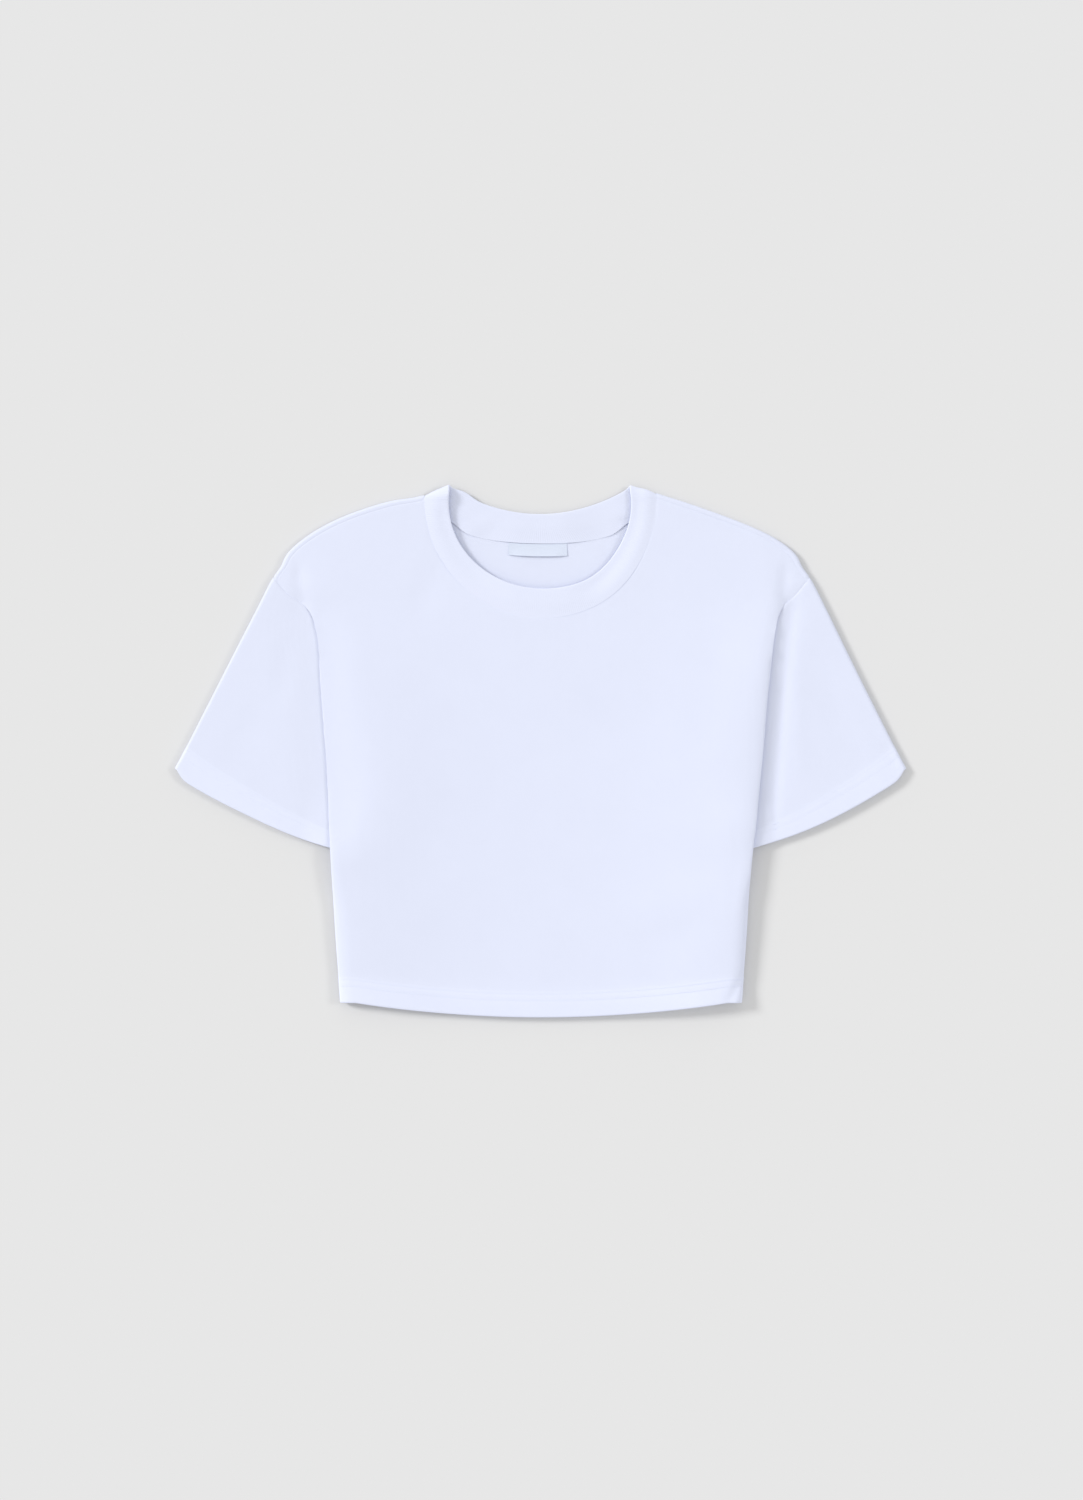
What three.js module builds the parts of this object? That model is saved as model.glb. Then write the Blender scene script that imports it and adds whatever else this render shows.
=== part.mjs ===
// A boxy cropped T-shirt in white cotton jersey, laid face up with its short sleeves drawn down beside
// the body.
//
// Millimetres. +X runs across the garment, +Y towards the neck and +Z up from the surface that it lies on.
// The origin is on that surface, under the middle of the outline.
//
// Each piece that is cut and sewn is one closed wall of cloth: the front, the back, two sleeves, the
// neckband and the neck label. Drawing the sleeves down folds the body's sides over them, so each side of
// the body ends in a rolled edge, and the cloth behind it runs back in to the armhole seam and, lower down,
// to the side seam. Only the right half is worked out. The left half is its mirror image.
import * as THREE from 'three';

// Cloth
const JERSEY = 1.1; // one layer of heavy cotton jersey
const RIB = 2.6; // the neckband: a strip of fine rib folded double
const LABEL = 0.7;
const AIR = 0.35; // between two layers that lie on each other
const SEAM = 0.3; // between two sewn pieces
const ARMHOLE_SEAM = SEAM * 2.4; // the same across the garment, since the armhole seam runs aslant
const NECK_SEAM = SEAM * 1.15; // the same between the facets of the neckline
const HEM = 20; // depth of the turned-up hems
const HEM_SEAM = 1; // between the front's and the back's thick hems at the side seam
const PITCH = JERSEY + AIR;

// Heights of the middle of a layer
const BACK_Z = JERSEY / 2; // the back lies on the surface
const FRONT_Z = 4.7; // the front, at the middle of the garment
const EDGE_Z = 4.95; // the upper layer along the shoulders and the tops of the sleeves
const BACK_RETURN_Z = BACK_Z + PITCH; // the back's cloth that runs in under a sleeve
const SLEEVE_NEST_Z = BACK_RETURN_Z + PITCH; // a sleeve's lower layer where the body folds round it
const ROLL_RADIUS = (EDGE_Z - BACK_Z) / 2; // shoulders and sleeve tops

// Body outline
const HEM_CORNER_Y = -220.4;
const HEM_CENTRE_Y = -233.35;
const UNDERARM_Y = 0;
const SLEEVE_FULL_Y = -40; // above this level both layers of the sleeve lie in the fold
const CHEST_Y = 124; // side level of the row that the neckline starts from

// Neckline, measured on the seam between the neckband and the body
const NECK_HALF = 102;
const NECK_SIDE_Y = 221.8;
const FRONT_NECK_DROP = 105.5;
const BACK_NECK_DROP = 40.8;

// Neckband, measured on its free folded edge
const OPENING_HALF = 80;
const OPENING_SIDE_Y = 217;
const FRONT_OPENING_DROP = 74.3;
const BACK_OPENING_Y = 208;
const BACK_OPENING_SIDE = new THREE.Vector3(77.5, 230.2, 8.4);
const STAND_SIDE_Z = 12.2; // the free edge stands up beside the neck
const STAND_BACK_Z = 3.2;

// Shoulder outline: a curve from the neck to the end of the shoulder, where the armhole seam crosses it
const SHOULDER = new THREE.CubicBezierCurve(
  new THREE.Vector2(103.7, 226.4),
  new THREE.Vector2(187, 203.5),
  new THREE.Vector2(224, 185),
  new THREE.Vector2(236.5, 152.5),
);
const SHOULDER_SEAM_FORWARD = 2; // the shoulder seam lies this far forward of the roll's centre line
const ARMHOLE_LEAN = 0.558; // how far the armhole seam leans along the shoulder as it leaves the outline

// Sleeve outline
const CUFF_CORNER = new THREE.Vector2(323.8, -19.5);
const CUFF_INNER = new THREE.Vector2(176, -87);
const CUFF_BOW = 7.7;
const CUFF_NEST = 2 * JERSEY + PITCH; // between the sleeve's two layers where their hems lie in the fold
const UNDERARM_CLEARANCE = 3.4; // from the side seam to the middle of the sleeve's underarm fold
const SEAM_TURN = 2; // the side seam's cloth turns in over this distance
const SETTLE = 24; // outside the body's edge, a sleeve comes down to the surface over this distance

// Rolled edges of the body
const ROLL_START = 14; // the roll begins this far inside the edge
const FRONT_RISE = 62; // the front rises to the roll over this distance
const FRONT_PUFF = 1.2; // and stands this much higher in the roll
const FRONT_ARRIVAL = 2; // how steeply the front and the back come to the armhole seam from the roll
const BACK_ARRIVAL = 0.8;
const FULL_TUCK = 7; // where the roll reaches past the seam by more than this, the cloth runs back flat
const ARMHOLE_OPEN_Y = 60; // above this level the rows end at a seam that lies more and more in the open

// The right side of the body, level by level up the side.
// fold: half width to the rolled edge.
// seam: half width to the side seam, or to the armhole seam above the underarm.
// top: height of the front layer beside the rolled edge.
// nest: distance between the sleeve's layers in the fold.
const SIDE = [
  { y: HEM_CORNER_Y, fold: 176.8, seam: 176.2, top: 7.0, nest: 0 },
  { y: -165, fold: 181.0, seam: 180.3, top: 7.9, nest: 0 },
  { y: -135, fold: 182.8, seam: 180.6, top: 8.8, nest: 0 },
  { y: -112, fold: 184.1, seam: 177.2, top: 10.2, nest: 1.6 },
  { y: -92, fold: 185.2, seam: 172.2, top: 11.4, nest: CUFF_NEST },
  { y: -64, fold: 187.3, seam: 166.6, top: 11.6, nest: CUFF_NEST },
  { y: -44, fold: 188.7, seam: 163.6, top: 10.6, nest: 1.9 },
  { y: UNDERARM_Y, fold: 192.4, seam: 161.0, top: 9.9, nest: PITCH },
  { y: 40, fold: 195.3, seam: 172.0, top: 9.8, nest: PITCH },
  { y: 70, fold: 197.8, seam: 182.5, top: 9.6, nest: PITCH },
  { y: 90, fold: 200.2, seam: 191.5, top: 9.3, nest: PITCH },
  { y: 104, fold: 202.6, seam: 199.8, top: 8.9, nest: PITCH },
  { y: 114, fold: 204.5, seam: 206.8, top: 8.4, nest: PITCH },
  { y: CHEST_Y, fold: 206.5, seam: 214.0, top: 7.7, nest: PITCH },
  { y: 150.1, fold: 212.0, seam: 234.5, top: 5.5, nest: PITCH },
];

// Side levels of the rows of cloth between the hem and the chest row. Two rows close together make the
// hem's step.
const ROWS = [
  HEM_CORNER_Y, HEM_CORNER_Y + HEM - 0.2, HEM_CORNER_Y + HEM + 0.2, -183, -163, -145, -130, -115, -100, -88,
  -72, -55, -36, -18, -7, 1, 20, 40, 58, 74, 88, 99, 107, 115, CHEST_Y,
];

function mix(a, b, share) {
  return a + (b - a) * share;
}

function smooth(low, high, x) {
  return THREE.MathUtils.smoothstep(x, low, high);
}

// One column of the side table at any level, on a smooth curve through its rows.
function side(column, y) {
  let k = 0;
  while (k < SIDE.length - 2 && y > SIDE[k + 1].y) k += 1;
  const a = SIDE[Math.max(k - 1, 0)];
  const b = SIDE[k];
  const c = SIDE[k + 1];
  const d = SIDE[Math.min(k + 2, SIDE.length - 1)];
  const width = c.y - b.y;
  const slopeB = (width * (c[column] - a[column])) / (c.y - a.y);
  const slopeC = (width * (d[column] - b[column])) / (d.y - b.y);
  const t = (y - b.y) / width;
  const rise = 3 * t * t - 2 * t * t * t;
  return b[column] * (1 - rise) + c[column] * rise
    + slopeB * t * (1 - t) * (1 - t) - slopeC * t * t * (1 - t);
}

// How far the rolled edge reaches past the seam behind it. Below zero, the seam shows.
function overhang(y) {
  return side('fold', y) - side('seam', y);
}

// As the seam comes out from behind the rolled edge, a sleeve first comes down, and then the body's edge
// comes level with it. Both happen while the seam lies between these distances outside the rolled edge.
const LIFTS = { near: 2, far: 13 };
const LIES_ON = { near: 1, far: 9 };

// How far a point lies outside the body's edge: 0 in the fold and 1 where the sleeve has settled.
function outside(x, y) {
  return smooth(1.5, SETTLE, x - side('fold', y));
}

// How far the body's edge has moved from beside the sleeve's edge (0) to lying on it (1).
function stacked(y) {
  return smooth(-LIES_ON.far, -LIES_ON.near, overhang(y));
}

// Heights of a sleeve's two layers. They are lifted where the body folds round them, and settle outside it.
function sleeveBackZ(x, y) {
  const lifted = y < UNDERARM_Y ? 1 : smooth(-LIFTS.far, -LIFTS.near, overhang(y));
  return mix(BACK_Z, SLEEVE_NEST_Z, lifted * (1 - outside(x, y)));
}

function sleeveFrontZ(x, y) {
  const inFold = SLEEVE_NEST_Z + Math.max(side('nest', y), PITCH);
  return mix(inFold, EDGE_Z, outside(x, y));
}

// A closed wall of cloth from grids of points on its middle surface, whose points are joined where they
// meet. Each point can carry inside, the extra thickness of a turned-up hem on the cloth's inner face, and
// outward, the direction that its outer face looks in where an edge is to meet its neighbour squarely.
function clothWall(grids, thickness) {
  const points = [];
  const ids = new Map();
  const faces = [];
  const idOf = (p) => {
    const key = [p.x, p.y, p.z].map((v) => Math.round(v * 500)).join(',');
    if (!ids.has(key)) {
      ids.set(key, points.length);
      points.push(p);
    }
    return ids.get(key);
  };
  for (const grid of grids) {
    for (let i = 0; i + 1 < grid.length; i += 1) {
      for (let j = 0; j + 1 < grid[i].length; j += 1) {
        const [a, b, c, d] = [grid[i][j], grid[i][j + 1], grid[i + 1][j + 1], grid[i + 1][j]].map(idOf);
        for (const face of [[a, b, c], [a, c, d]]) {
          if (new Set(face).size === 3) faces.push(face);
        }
      }
    }
  }

  const normals = points.map(() => new THREE.Vector3());
  for (const [a, b, c] of faces) {
    const normal = new THREE.Vector3().subVectors(points[b], points[a])
      .cross(new THREE.Vector3().subVectors(points[c], points[a]));
    for (const id of [a, b, c]) normals[id].add(normal);
  }
  normals.forEach((n, k) => (points[k].outward ? n.copy(points[k].outward) : n.normalize()));

  const outer = points.map((p, k) => p.clone().addScaledVector(normals[k], thickness / 2));
  const inner = points.map((p, k) => p.clone().addScaledVector(normals[k], -thickness / 2 - (p.inside ?? 0)));
  const positions = [...outer, ...inner].flatMap((p) => p.toArray());
  const n = points.length;
  const edges = new Set(faces.flatMap(([a, b, c]) => [`${a},${b}`, `${b},${c}`, `${c},${a}`]));
  const triangles = [];
  for (const [a, b, c] of faces) {
    triangles.push(a, b, c, n + a, n + c, n + b);
    for (const [from, to] of [[a, b], [b, c], [c, a]]) {
      if (!edges.has(`${to},${from}`)) triangles.push(to, from, n + from, to, n + from, n + to);
    }
  }
  const geometry = new THREE.BufferGeometry();
  geometry.setAttribute('position', new THREE.Float32BufferAttribute(positions, 3));
  geometry.setIndex(triangles);
  return geometry;
}

// A grid's mirror image in X, with its columns turned round so that its outer face stays outside.
function mirrored(grid) {
  return grid.map((row) => row.map((p) => {
    const twin = new THREE.Vector3(-p.x, p.y, p.z);
    twin.inside = p.inside;
    if (p.outward) twin.outward = new THREE.Vector3(-p.outward.x, p.outward.y, p.outward.z);
    return twin;
  }).reverse());
}

// A surface between four edge curves that meet at its corners.
function patchBetween(bottom, top, left, right) {
  const lastRow = left.length - 1;
  const lastColumn = bottom.length - 1;
  return left.map((leftPoint, i) => bottom.map((bottomPoint, j) => {
    const v = i / lastRow;
    const u = j / lastColumn;
    return new THREE.Vector3()
      .addScaledVector(bottomPoint, 1 - v).addScaledVector(top[j], v)
      .addScaledVector(leftPoint, 1 - u).addScaledVector(right[i], u)
      .addScaledVector(bottom[0], -(1 - u) * (1 - v)).addScaledVector(bottom[lastColumn], -u * (1 - v))
      .addScaledVector(top[0], -(1 - u) * v).addScaledVector(top[lastColumn], -u * v);
  }));
}

// A point on a neckline curve: angle 0 is at the middle of the front or back, a right angle at the side.
function neckPoint(halfWidth, sideY, drop, angle, z) {
  return new THREE.Vector3(halfWidth * Math.sin(angle), sideY - drop * Math.cos(angle), z);
}

// Shoulder roll: share 0 is at the neck and 1 at the armhole; turn runs from under the garment (-90 degrees),
// round the outline, to the top (90 degrees). forward moves the point on over the top, away from the outline.
function shoulderPoint(share, turn, forward = 0) {
  const outline = SHOULDER.getPoint(share);
  const along = SHOULDER.getTangent(share);
  const out = new THREE.Vector2(-along.y, along.x);
  const reach = ROLL_RADIUS * Math.cos(turn) - ROLL_RADIUS - JERSEY / 2 - forward;
  const lean = -reach * ARMHOLE_LEAN * share ** 12;
  return new THREE.Vector3(
    outline.x + out.x * reach + along.x * lean,
    outline.y + out.y * reach + along.y * lean,
    (EDGE_Z + BACK_Z) / 2 + ROLL_RADIUS * Math.sin(turn),
  );
}

const TOP_COLUMNS = 8; // across the flat part of a half panel
const ROLL_COLUMNS = 9; // round its rolled edge and back in to the seam
const CROWDED_COLUMNS = [0.12, 0.26, 0.4, 0.52, 0.66, 0.82, 0.978, 0.992, 1]; // the last at the side seam
const NECK_ROWS = 9;
const FLAT_SHARE_OF_SHOULDER = 0.6;

// A panel's points along the shoulder, with its columns spaced so that they run on from the row below.
function shoulderRow(turn, forward = 0) {
  const shares = [];
  for (let j = 0; j <= TOP_COLUMNS; j += 1) shares.push((FLAT_SHARE_OF_SHOULDER * j) / TOP_COLUMNS);
  for (let j = 1; j <= ROLL_COLUMNS; j += 1) {
    shares.push(mix(FLAT_SHARE_OF_SHOULDER, 1, j / ROLL_COLUMNS));
  }
  const row = shares.map((share) => shoulderPoint(share, turn, forward));
  row[row.length - 1].x -= ARMHOLE_SEAM;
  return row;
}

// One row of half a panel, from the middle of the garment to the seam. facing is 1 for the front and -1 for
// the back.
function panelRow(y, centreY, facing) {
  const fold = side('fold', y);
  const seam = side('seam', y);
  const tuck = smooth(0, FULL_TUCK, fold - seam);
  const folding = y > ARMHOLE_OPEN_Y ? 1 : tuck;
  const belowUnderarm = 1 - smooth(-8, 0, y);
  const top = side('top', y);
  const middleZ = mix(top / 2, BACK_RETURN_Z + PITCH + side('nest', y) / 2, tuck);

  const flatZ = facing > 0 ? top : BACK_Z;
  const puff = facing > 0 ? FRONT_PUFF : 0;
  const nest = Math.max(side('nest', y), y > SLEEVE_FULL_Y ? PITCH : 0);
  const frontReturnZ = SLEEVE_NEST_Z + nest + Math.min(nest, PITCH);
  const returnZ = facing > 0 ? frontReturnZ : BACK_RETURN_Z;

  // Where the row ends: in line with the sleeve's edge, lying on it, or at the closed side seam.
  const sleeveZ = facing > 0 ? sleeveFrontZ(seam, y) : sleeveBackZ(seam, y);
  const besideSleeve = y > ARMHOLE_OPEN_Y ? 1 - stacked(y) : 0;
  const armholeEndZ = sleeveZ + facing * PITCH * (1 - besideSleeve);
  const sideEndZ = middleZ + facing * (y < HEM_CORNER_Y + HEM ? HEM_SEAM : SEAM) * 0.75;
  const endX = seam - ARMHOLE_SEAM * Math.min(besideSleeve * 4, 1);

  // The roll is a cubic curve. Its two handles stand at the distance that takes its middle out to the edge.
  const start = Math.min(seam, fold - ROLL_START);
  const handleX = (fold - JERSEY / 2 - (start + endX) / 8) / 0.75;
  const handleZ = mix(sideEndZ, flatZ, 0.6);
  let foldedZ = returnZ;
  let foldedHandleZ = returnZ;
  if (y > ARMHOLE_OPEN_Y) {
    const arrival = Math.sin(Math.PI * smooth(-8, 6, fold - seam));
    foldedZ = armholeEndZ;
    foldedHandleZ = armholeEndZ + arrival * (facing > 0 ? FRONT_ARRIVAL : -BACK_ARRIVAL);
  }
  const control = [
    [start, flatZ],
    [mix(mix(start, endX, 0.6), handleX, folding), flatZ + puff * tuck],
    [mix(endX, handleX, folding), mix(handleZ, foldedHandleZ, folding)],
    [endX, mix(sideEndZ, foldedZ, folding)],
  ];

  const row = [];
  for (let j = 0; j <= TOP_COLUMNS; j += 1) {
    const x = (start * j) / TOP_COLUMNS;
    const z = facing > 0 ? mix(FRONT_Z, flatZ, smooth(start - FRONT_RISE, start, x)) : BACK_Z;
    row.push(new THREE.Vector3(x, mix(centreY, y, (x / start) ** 2), z));
  }
  for (let j = 1; j <= ROLL_COLUMNS; j += 1) {
    const even = j / ROLL_COLUMNS;
    const t = mix(even, CROWDED_COLUMNS[j - 1], (1 - smooth(4, ARMHOLE_OPEN_Y, y)) * tuck);
    const weights = [(1 - t) ** 3, 3 * t * (1 - t) ** 2, 3 * t * t * (1 - t), t ** 3];
    const x = weights.reduce((sum, w, k) => sum + w * control[k][0], 0);
    let z = weights.reduce((sum, w, k) => sum + w * control[k][1], 0);
    const nearSeam = THREE.MathUtils.clamp(1 - (x - endX) / SEAM_TURN, 0, 1);
    const turnIn = 1 - Math.sqrt(1 - nearSeam ** 2);
    if (t > 0.9) z = mix(z, sideEndZ, turnIn * belowUnderarm * tuck);
    row.push(new THREE.Vector3(x, y, z));
  }
  if (belowUnderarm > 0.5) row[row.length - 1].outward = new THREE.Vector3(1, 0, 0);
  return row;
}

// Half of the front or back, from the hem up to its chest row, where the cloth divides round the neck.
function bodyRows(neckBottomY, facing) {
  return ROWS.map((y) => {
    const share = (y - HEM_CORNER_Y) / (CHEST_Y - HEM_CORNER_Y);
    const row = panelRow(y, mix(HEM_CENTRE_Y, neckBottomY, share), facing);
    const hemmed = y < HEM_CORNER_Y + HEM;
    row.forEach((p) => { p.inside = hemmed ? JERSEY : 0; });
    return row;
  });
}

// The armhole seam from the chest row up to the shoulder seam, on the front or the back.
function upperArmhole(facing, end) {
  const points = [];
  for (let i = 0; i <= NECK_ROWS; i += 1) {
    const y = mix(CHEST_Y, end.y, i / NECK_ROWS);
    const short = end.x - side('seam', end.y) + ARMHOLE_SEAM;
    const x = side('seam', y) - ARMHOLE_SEAM + short * (i / NECK_ROWS) ** 4;
    const z = facing > 0 ? sleeveFrontZ(x, y) : sleeveBackZ(x, y);
    points.push(new THREE.Vector3(x, y, mix(z, end.z, (i / NECK_ROWS) ** 2)));
  }
  return points;
}

// A panel's edge along the neckband, from its middle to the side of the neck.
function neckEdge(drop, steps, lowZ, highZ) {
  const points = [];
  for (let i = 0; i <= steps; i += 1) {
    const angle = (i / steps) * (Math.PI / 2);
    const z = mix(lowZ, highZ, i / steps);
    points.push(neckPoint(NECK_HALF + NECK_SEAM, NECK_SIDE_Y, drop + NECK_SEAM, angle, z));
  }
  return points;
}

function upperPatch(bottom, top, left, right) {
  const closedRight = right.slice();
  closedRight[0] = bottom[bottom.length - 1];
  closedRight[NECK_ROWS] = top[top.length - 1];
  const closedLeft = left.slice();
  closedLeft[0] = bottom[0];
  closedLeft[NECK_ROWS] = top[0];
  const grid = patchBetween(bottom, top, closedLeft, closedRight);
  grid[0] = bottom;
  grid[NECK_ROWS] = top;
  return grid;
}

function frontPanel() {
  const neckBottomY = NECK_SIDE_Y - FRONT_NECK_DROP - SEAM;
  const lower = bodyRows(neckBottomY, 1);
  const shoulderSeam = shoulderRow(Math.PI / 2, SHOULDER_SEAM_FORWARD + SEAM * 1.3);
  const neck = neckEdge(FRONT_NECK_DROP, NECK_ROWS, FRONT_Z, EDGE_Z);
  const armhole = upperArmhole(1, shoulderSeam[shoulderSeam.length - 1]);
  const upper = upperPatch(lower[lower.length - 1], shoulderSeam, neck, armhole);
  return clothWall([lower, upper, mirrored(lower), mirrored(upper)], JERSEY);
}

// The back's outer face is the one underneath, so its grids are built like the front's and then turned over.
function backPanel() {
  const neckBottomY = NECK_SIDE_Y - BACK_NECK_DROP - SEAM;
  const lower = bodyRows(neckBottomY, -1);
  const shoulderFoot = shoulderRow(-Math.PI / 2);
  const neck = [...neckEdge(BACK_NECK_DROP, NECK_ROWS - 1, BACK_Z, BACK_Z), shoulderFoot[0]];
  const armhole = upperArmhole(-1, shoulderFoot[shoulderFoot.length - 1]);
  const upper = upperPatch(lower[lower.length - 1], shoulderFoot, neck, armhole);
  upper.flat().forEach((p) => { p.z = Math.max(p.z, BACK_Z); });

  const roll = [shoulderFoot];
  const rollSteps = 6;
  for (let k = 1; k <= rollSteps; k += 1) {
    const turn = mix(-Math.PI / 2, Math.PI / 2, k / rollSteps);
    roll.push(shoulderRow(turn));
  }
  roll.push(shoulderRow(Math.PI / 2, SHOULDER_SEAM_FORWARD));
  const turnedOver = [lower, upper, roll].flatMap((grid) => [grid, mirrored(grid)])
    .map((grid) => grid.map((row) => row.slice().reverse()));
  return clothWall(turnedOver, JERSEY);
}

// A sleeve is a flattened tube. Its rows run from the cuff to the armhole, and each row goes round it: out
// along the upper layer, round the fold at the top of the sleeve, in along the lower layer and round the
// underarm fold.
const SLEEVE_ROWS = 11;
const SLEEVE_LENGTH = 160;
const HEM_STEP = 0.001; // share of the length in which a hem's inner face steps down
const UNDERARM_GAP_Y = UNDERARM_Y + 1.5;

// Levels of the sleeve's columns along the armhole, the same as those of the body's rows that they meet.
function armholeLevels() {
  const levels = [UNDERARM_GAP_Y, ...ROWS.filter((y) => y > 10)];
  for (let i = 1; i <= NECK_ROWS; i += 1) {
    levels.push(mix(CHEST_Y, SIDE[SIDE.length - 1].y, i / NECK_ROWS));
  }
  return levels;
}

function cuffPoint(share) {
  const chord = new THREE.Vector2().subVectors(CUFF_CORNER, CUFF_INNER);
  const out = new THREE.Vector2(chord.y, -chord.x).normalize();
  return new THREE.Vector2().copy(CUFF_INNER).addScaledVector(chord, share)
    .addScaledVector(out, CUFF_BOW * 4 * share * (1 - share));
}

function sleevePlan() {
  const shoulderEnd = SHOULDER.getPoint(1);
  const topLine = new THREE.Vector2().subVectors(CUFF_CORNER, shoulderEnd).normalize();
  const cuffOut = new THREE.Vector2(-topLine.y, topLine.x);
  const cuffEnd = CUFF_CORNER.clone().addScaledVector(cuffOut, -ROLL_RADIUS - JERSEY / 2);
  const armholeEnd = shoulderPoint(1, Math.PI / 2);
  const armholeOut = new THREE.Vector2(shoulderEnd.x - armholeEnd.x, shoulderEnd.y - armholeEnd.y)
    .divideScalar(ROLL_RADIUS + JERSEY / 2);

  const levels = armholeLevels();
  const last = levels.length - 1;
  const shares = levels.map((y) => (y - levels[0]) / (levels[last] - levels[0]));
  const cuff = shares.map((share) => {
    const point = cuffPoint(share).lerp(cuffEnd, share ** 6);
    return new THREE.Vector3(point.x, point.y, 0);
  });
  const armhole = levels.map((y) => {
    const clear = UNDERARM_CLEARANCE * (1 - smooth(0, 34, y));
    return new THREE.Vector3(side('seam', y) + clear, y, 0);
  });
  armhole[last].set(armholeEnd.x, armholeEnd.y, 0);

  const rows = [];
  for (let i = 0; i <= SLEEVE_ROWS; i += 1) {
    const along = sleeveRowShare(i);
    const points = shares.map((_, j) => new THREE.Vector3().lerpVectors(cuff[j], armhole[j], along));
    rows.push({ points, out: new THREE.Vector2().lerpVectors(cuffOut, armholeOut, along ** 4) });
  }
  return rows;
}

// Rows up a sleeve. The second and third lie close together and make the step of its hem.
function sleeveRowShare(i) {
  const hemShare = HEM / SLEEVE_LENGTH;
  if (i === 0) return 0;
  if (i === 1) return hemShare - HEM_STEP;
  return mix(hemShare + HEM_STEP, 1, (i - 2) / (SLEEVE_ROWS - 2));
}

function sleeve() {
  const foldSteps = 6;
  const underarmSteps = 4;
  return sleevePlan().map(({ points, out }, i) => {
    const upper = points.map((p) => new THREE.Vector3(p.x, p.y, sleeveFrontZ(p.x, p.y)));
    const lower = points.map((p) => new THREE.Vector3(p.x, p.y, sleeveBackZ(p.x, p.y))).reverse();
    const last = points.length - 1;
    const topFold = [];
    for (let k = 1; k < foldSteps; k += 1) {
      const turn = mix(Math.PI / 2, -Math.PI / 2, k / foldSteps);
      const radius = (upper[last].z - lower[0].z) / 2;
      topFold.push(new THREE.Vector3(
        upper[last].x + out.x * radius * Math.cos(turn),
        upper[last].y + out.y * radius * Math.cos(turn),
        lower[0].z + radius * (1 + Math.sin(turn)),
      ));
    }
    const underarmFold = [];
    for (let k = 1; k < underarmSteps; k += 1) {
      const turn = mix(-Math.PI / 2, Math.PI / 2, k / underarmSteps);
      const low = lower[last];
      const radius = (upper[0].z - low.z) / 2;
      const x = low.x - radius * Math.cos(turn);
      underarmFold.push(new THREE.Vector3(x, low.y, low.z + radius * (1 + Math.sin(turn))));
    }
    const ring = [...upper, ...topFold, ...lower, ...underarmFold, upper[0].clone()];
    ring.forEach((p) => { p.inside = i < 2 ? JERSEY : 0; });
    return ring;
  });
}

// The neckband's seam edge and free edge, from the middle of the front, over the shoulder, to the middle of
// the back.
const FRONT_STATIONS = NECK_ROWS;
const SHOULDER_STATIONS = 7;
const BACK_STATIONS = NECK_ROWS - 1;

function neckbandEdges() {
  const backZ = RIB / 2;
  const seam = [];
  const free = [];
  for (let k = 0; k < FRONT_STATIONS; k += 1) {
    const share = k / FRONT_STATIONS;
    const angle = (share * Math.PI) / 2;
    seam.push(neckPoint(NECK_HALF, NECK_SIDE_Y, FRONT_NECK_DROP, angle, mix(FRONT_Z, EDGE_Z, share)));
    free.push(neckPoint(OPENING_HALF, OPENING_SIDE_Y, FRONT_OPENING_DROP, angle,
      mix(FRONT_Z + 0.3, STAND_SIDE_Z, share ** 2.2)));
  }
  const seamTurn = new THREE.CubicBezierCurve3(
    new THREE.Vector3(NECK_HALF, NECK_SIDE_Y, EDGE_Z),
    new THREE.Vector3(NECK_HALF, NECK_SIDE_Y + 4.4, EDGE_Z),
    new THREE.Vector3(NECK_HALF, NECK_SIDE_Y + 4.4, backZ),
    new THREE.Vector3(NECK_HALF, NECK_SIDE_Y, backZ),
  );
  const freeTurn = new THREE.CubicBezierCurve3(
    new THREE.Vector3(OPENING_HALF, OPENING_SIDE_Y, STAND_SIDE_Z),
    new THREE.Vector3(OPENING_HALF, OPENING_SIDE_Y + 17, STAND_SIDE_Z + 2.6),
    new THREE.Vector3(OPENING_HALF + 3, BACK_OPENING_SIDE.y + 5, BACK_OPENING_SIDE.z),
    BACK_OPENING_SIDE,
  );
  for (let k = 0; k < SHOULDER_STATIONS; k += 1) {
    seam.push(seamTurn.getPoint(k / SHOULDER_STATIONS));
    free.push(freeTurn.getPoint(k / SHOULDER_STATIONS));
  }
  for (let k = 0; k <= BACK_STATIONS; k += 1) {
    const share = k / BACK_STATIONS;
    const across = 1 - share;
    seam.push(neckPoint(NECK_HALF, NECK_SIDE_Y, BACK_NECK_DROP, (across * Math.PI) / 2, backZ));
    free.push(new THREE.Vector3(
      BACK_OPENING_SIDE.x * across,
      mix(BACK_OPENING_Y, BACK_OPENING_SIDE.y, across ** 2),
      mix(STAND_BACK_Z, BACK_OPENING_SIDE.z, across ** 2.5),
    ));
  }
  return { seam, free };
}

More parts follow.
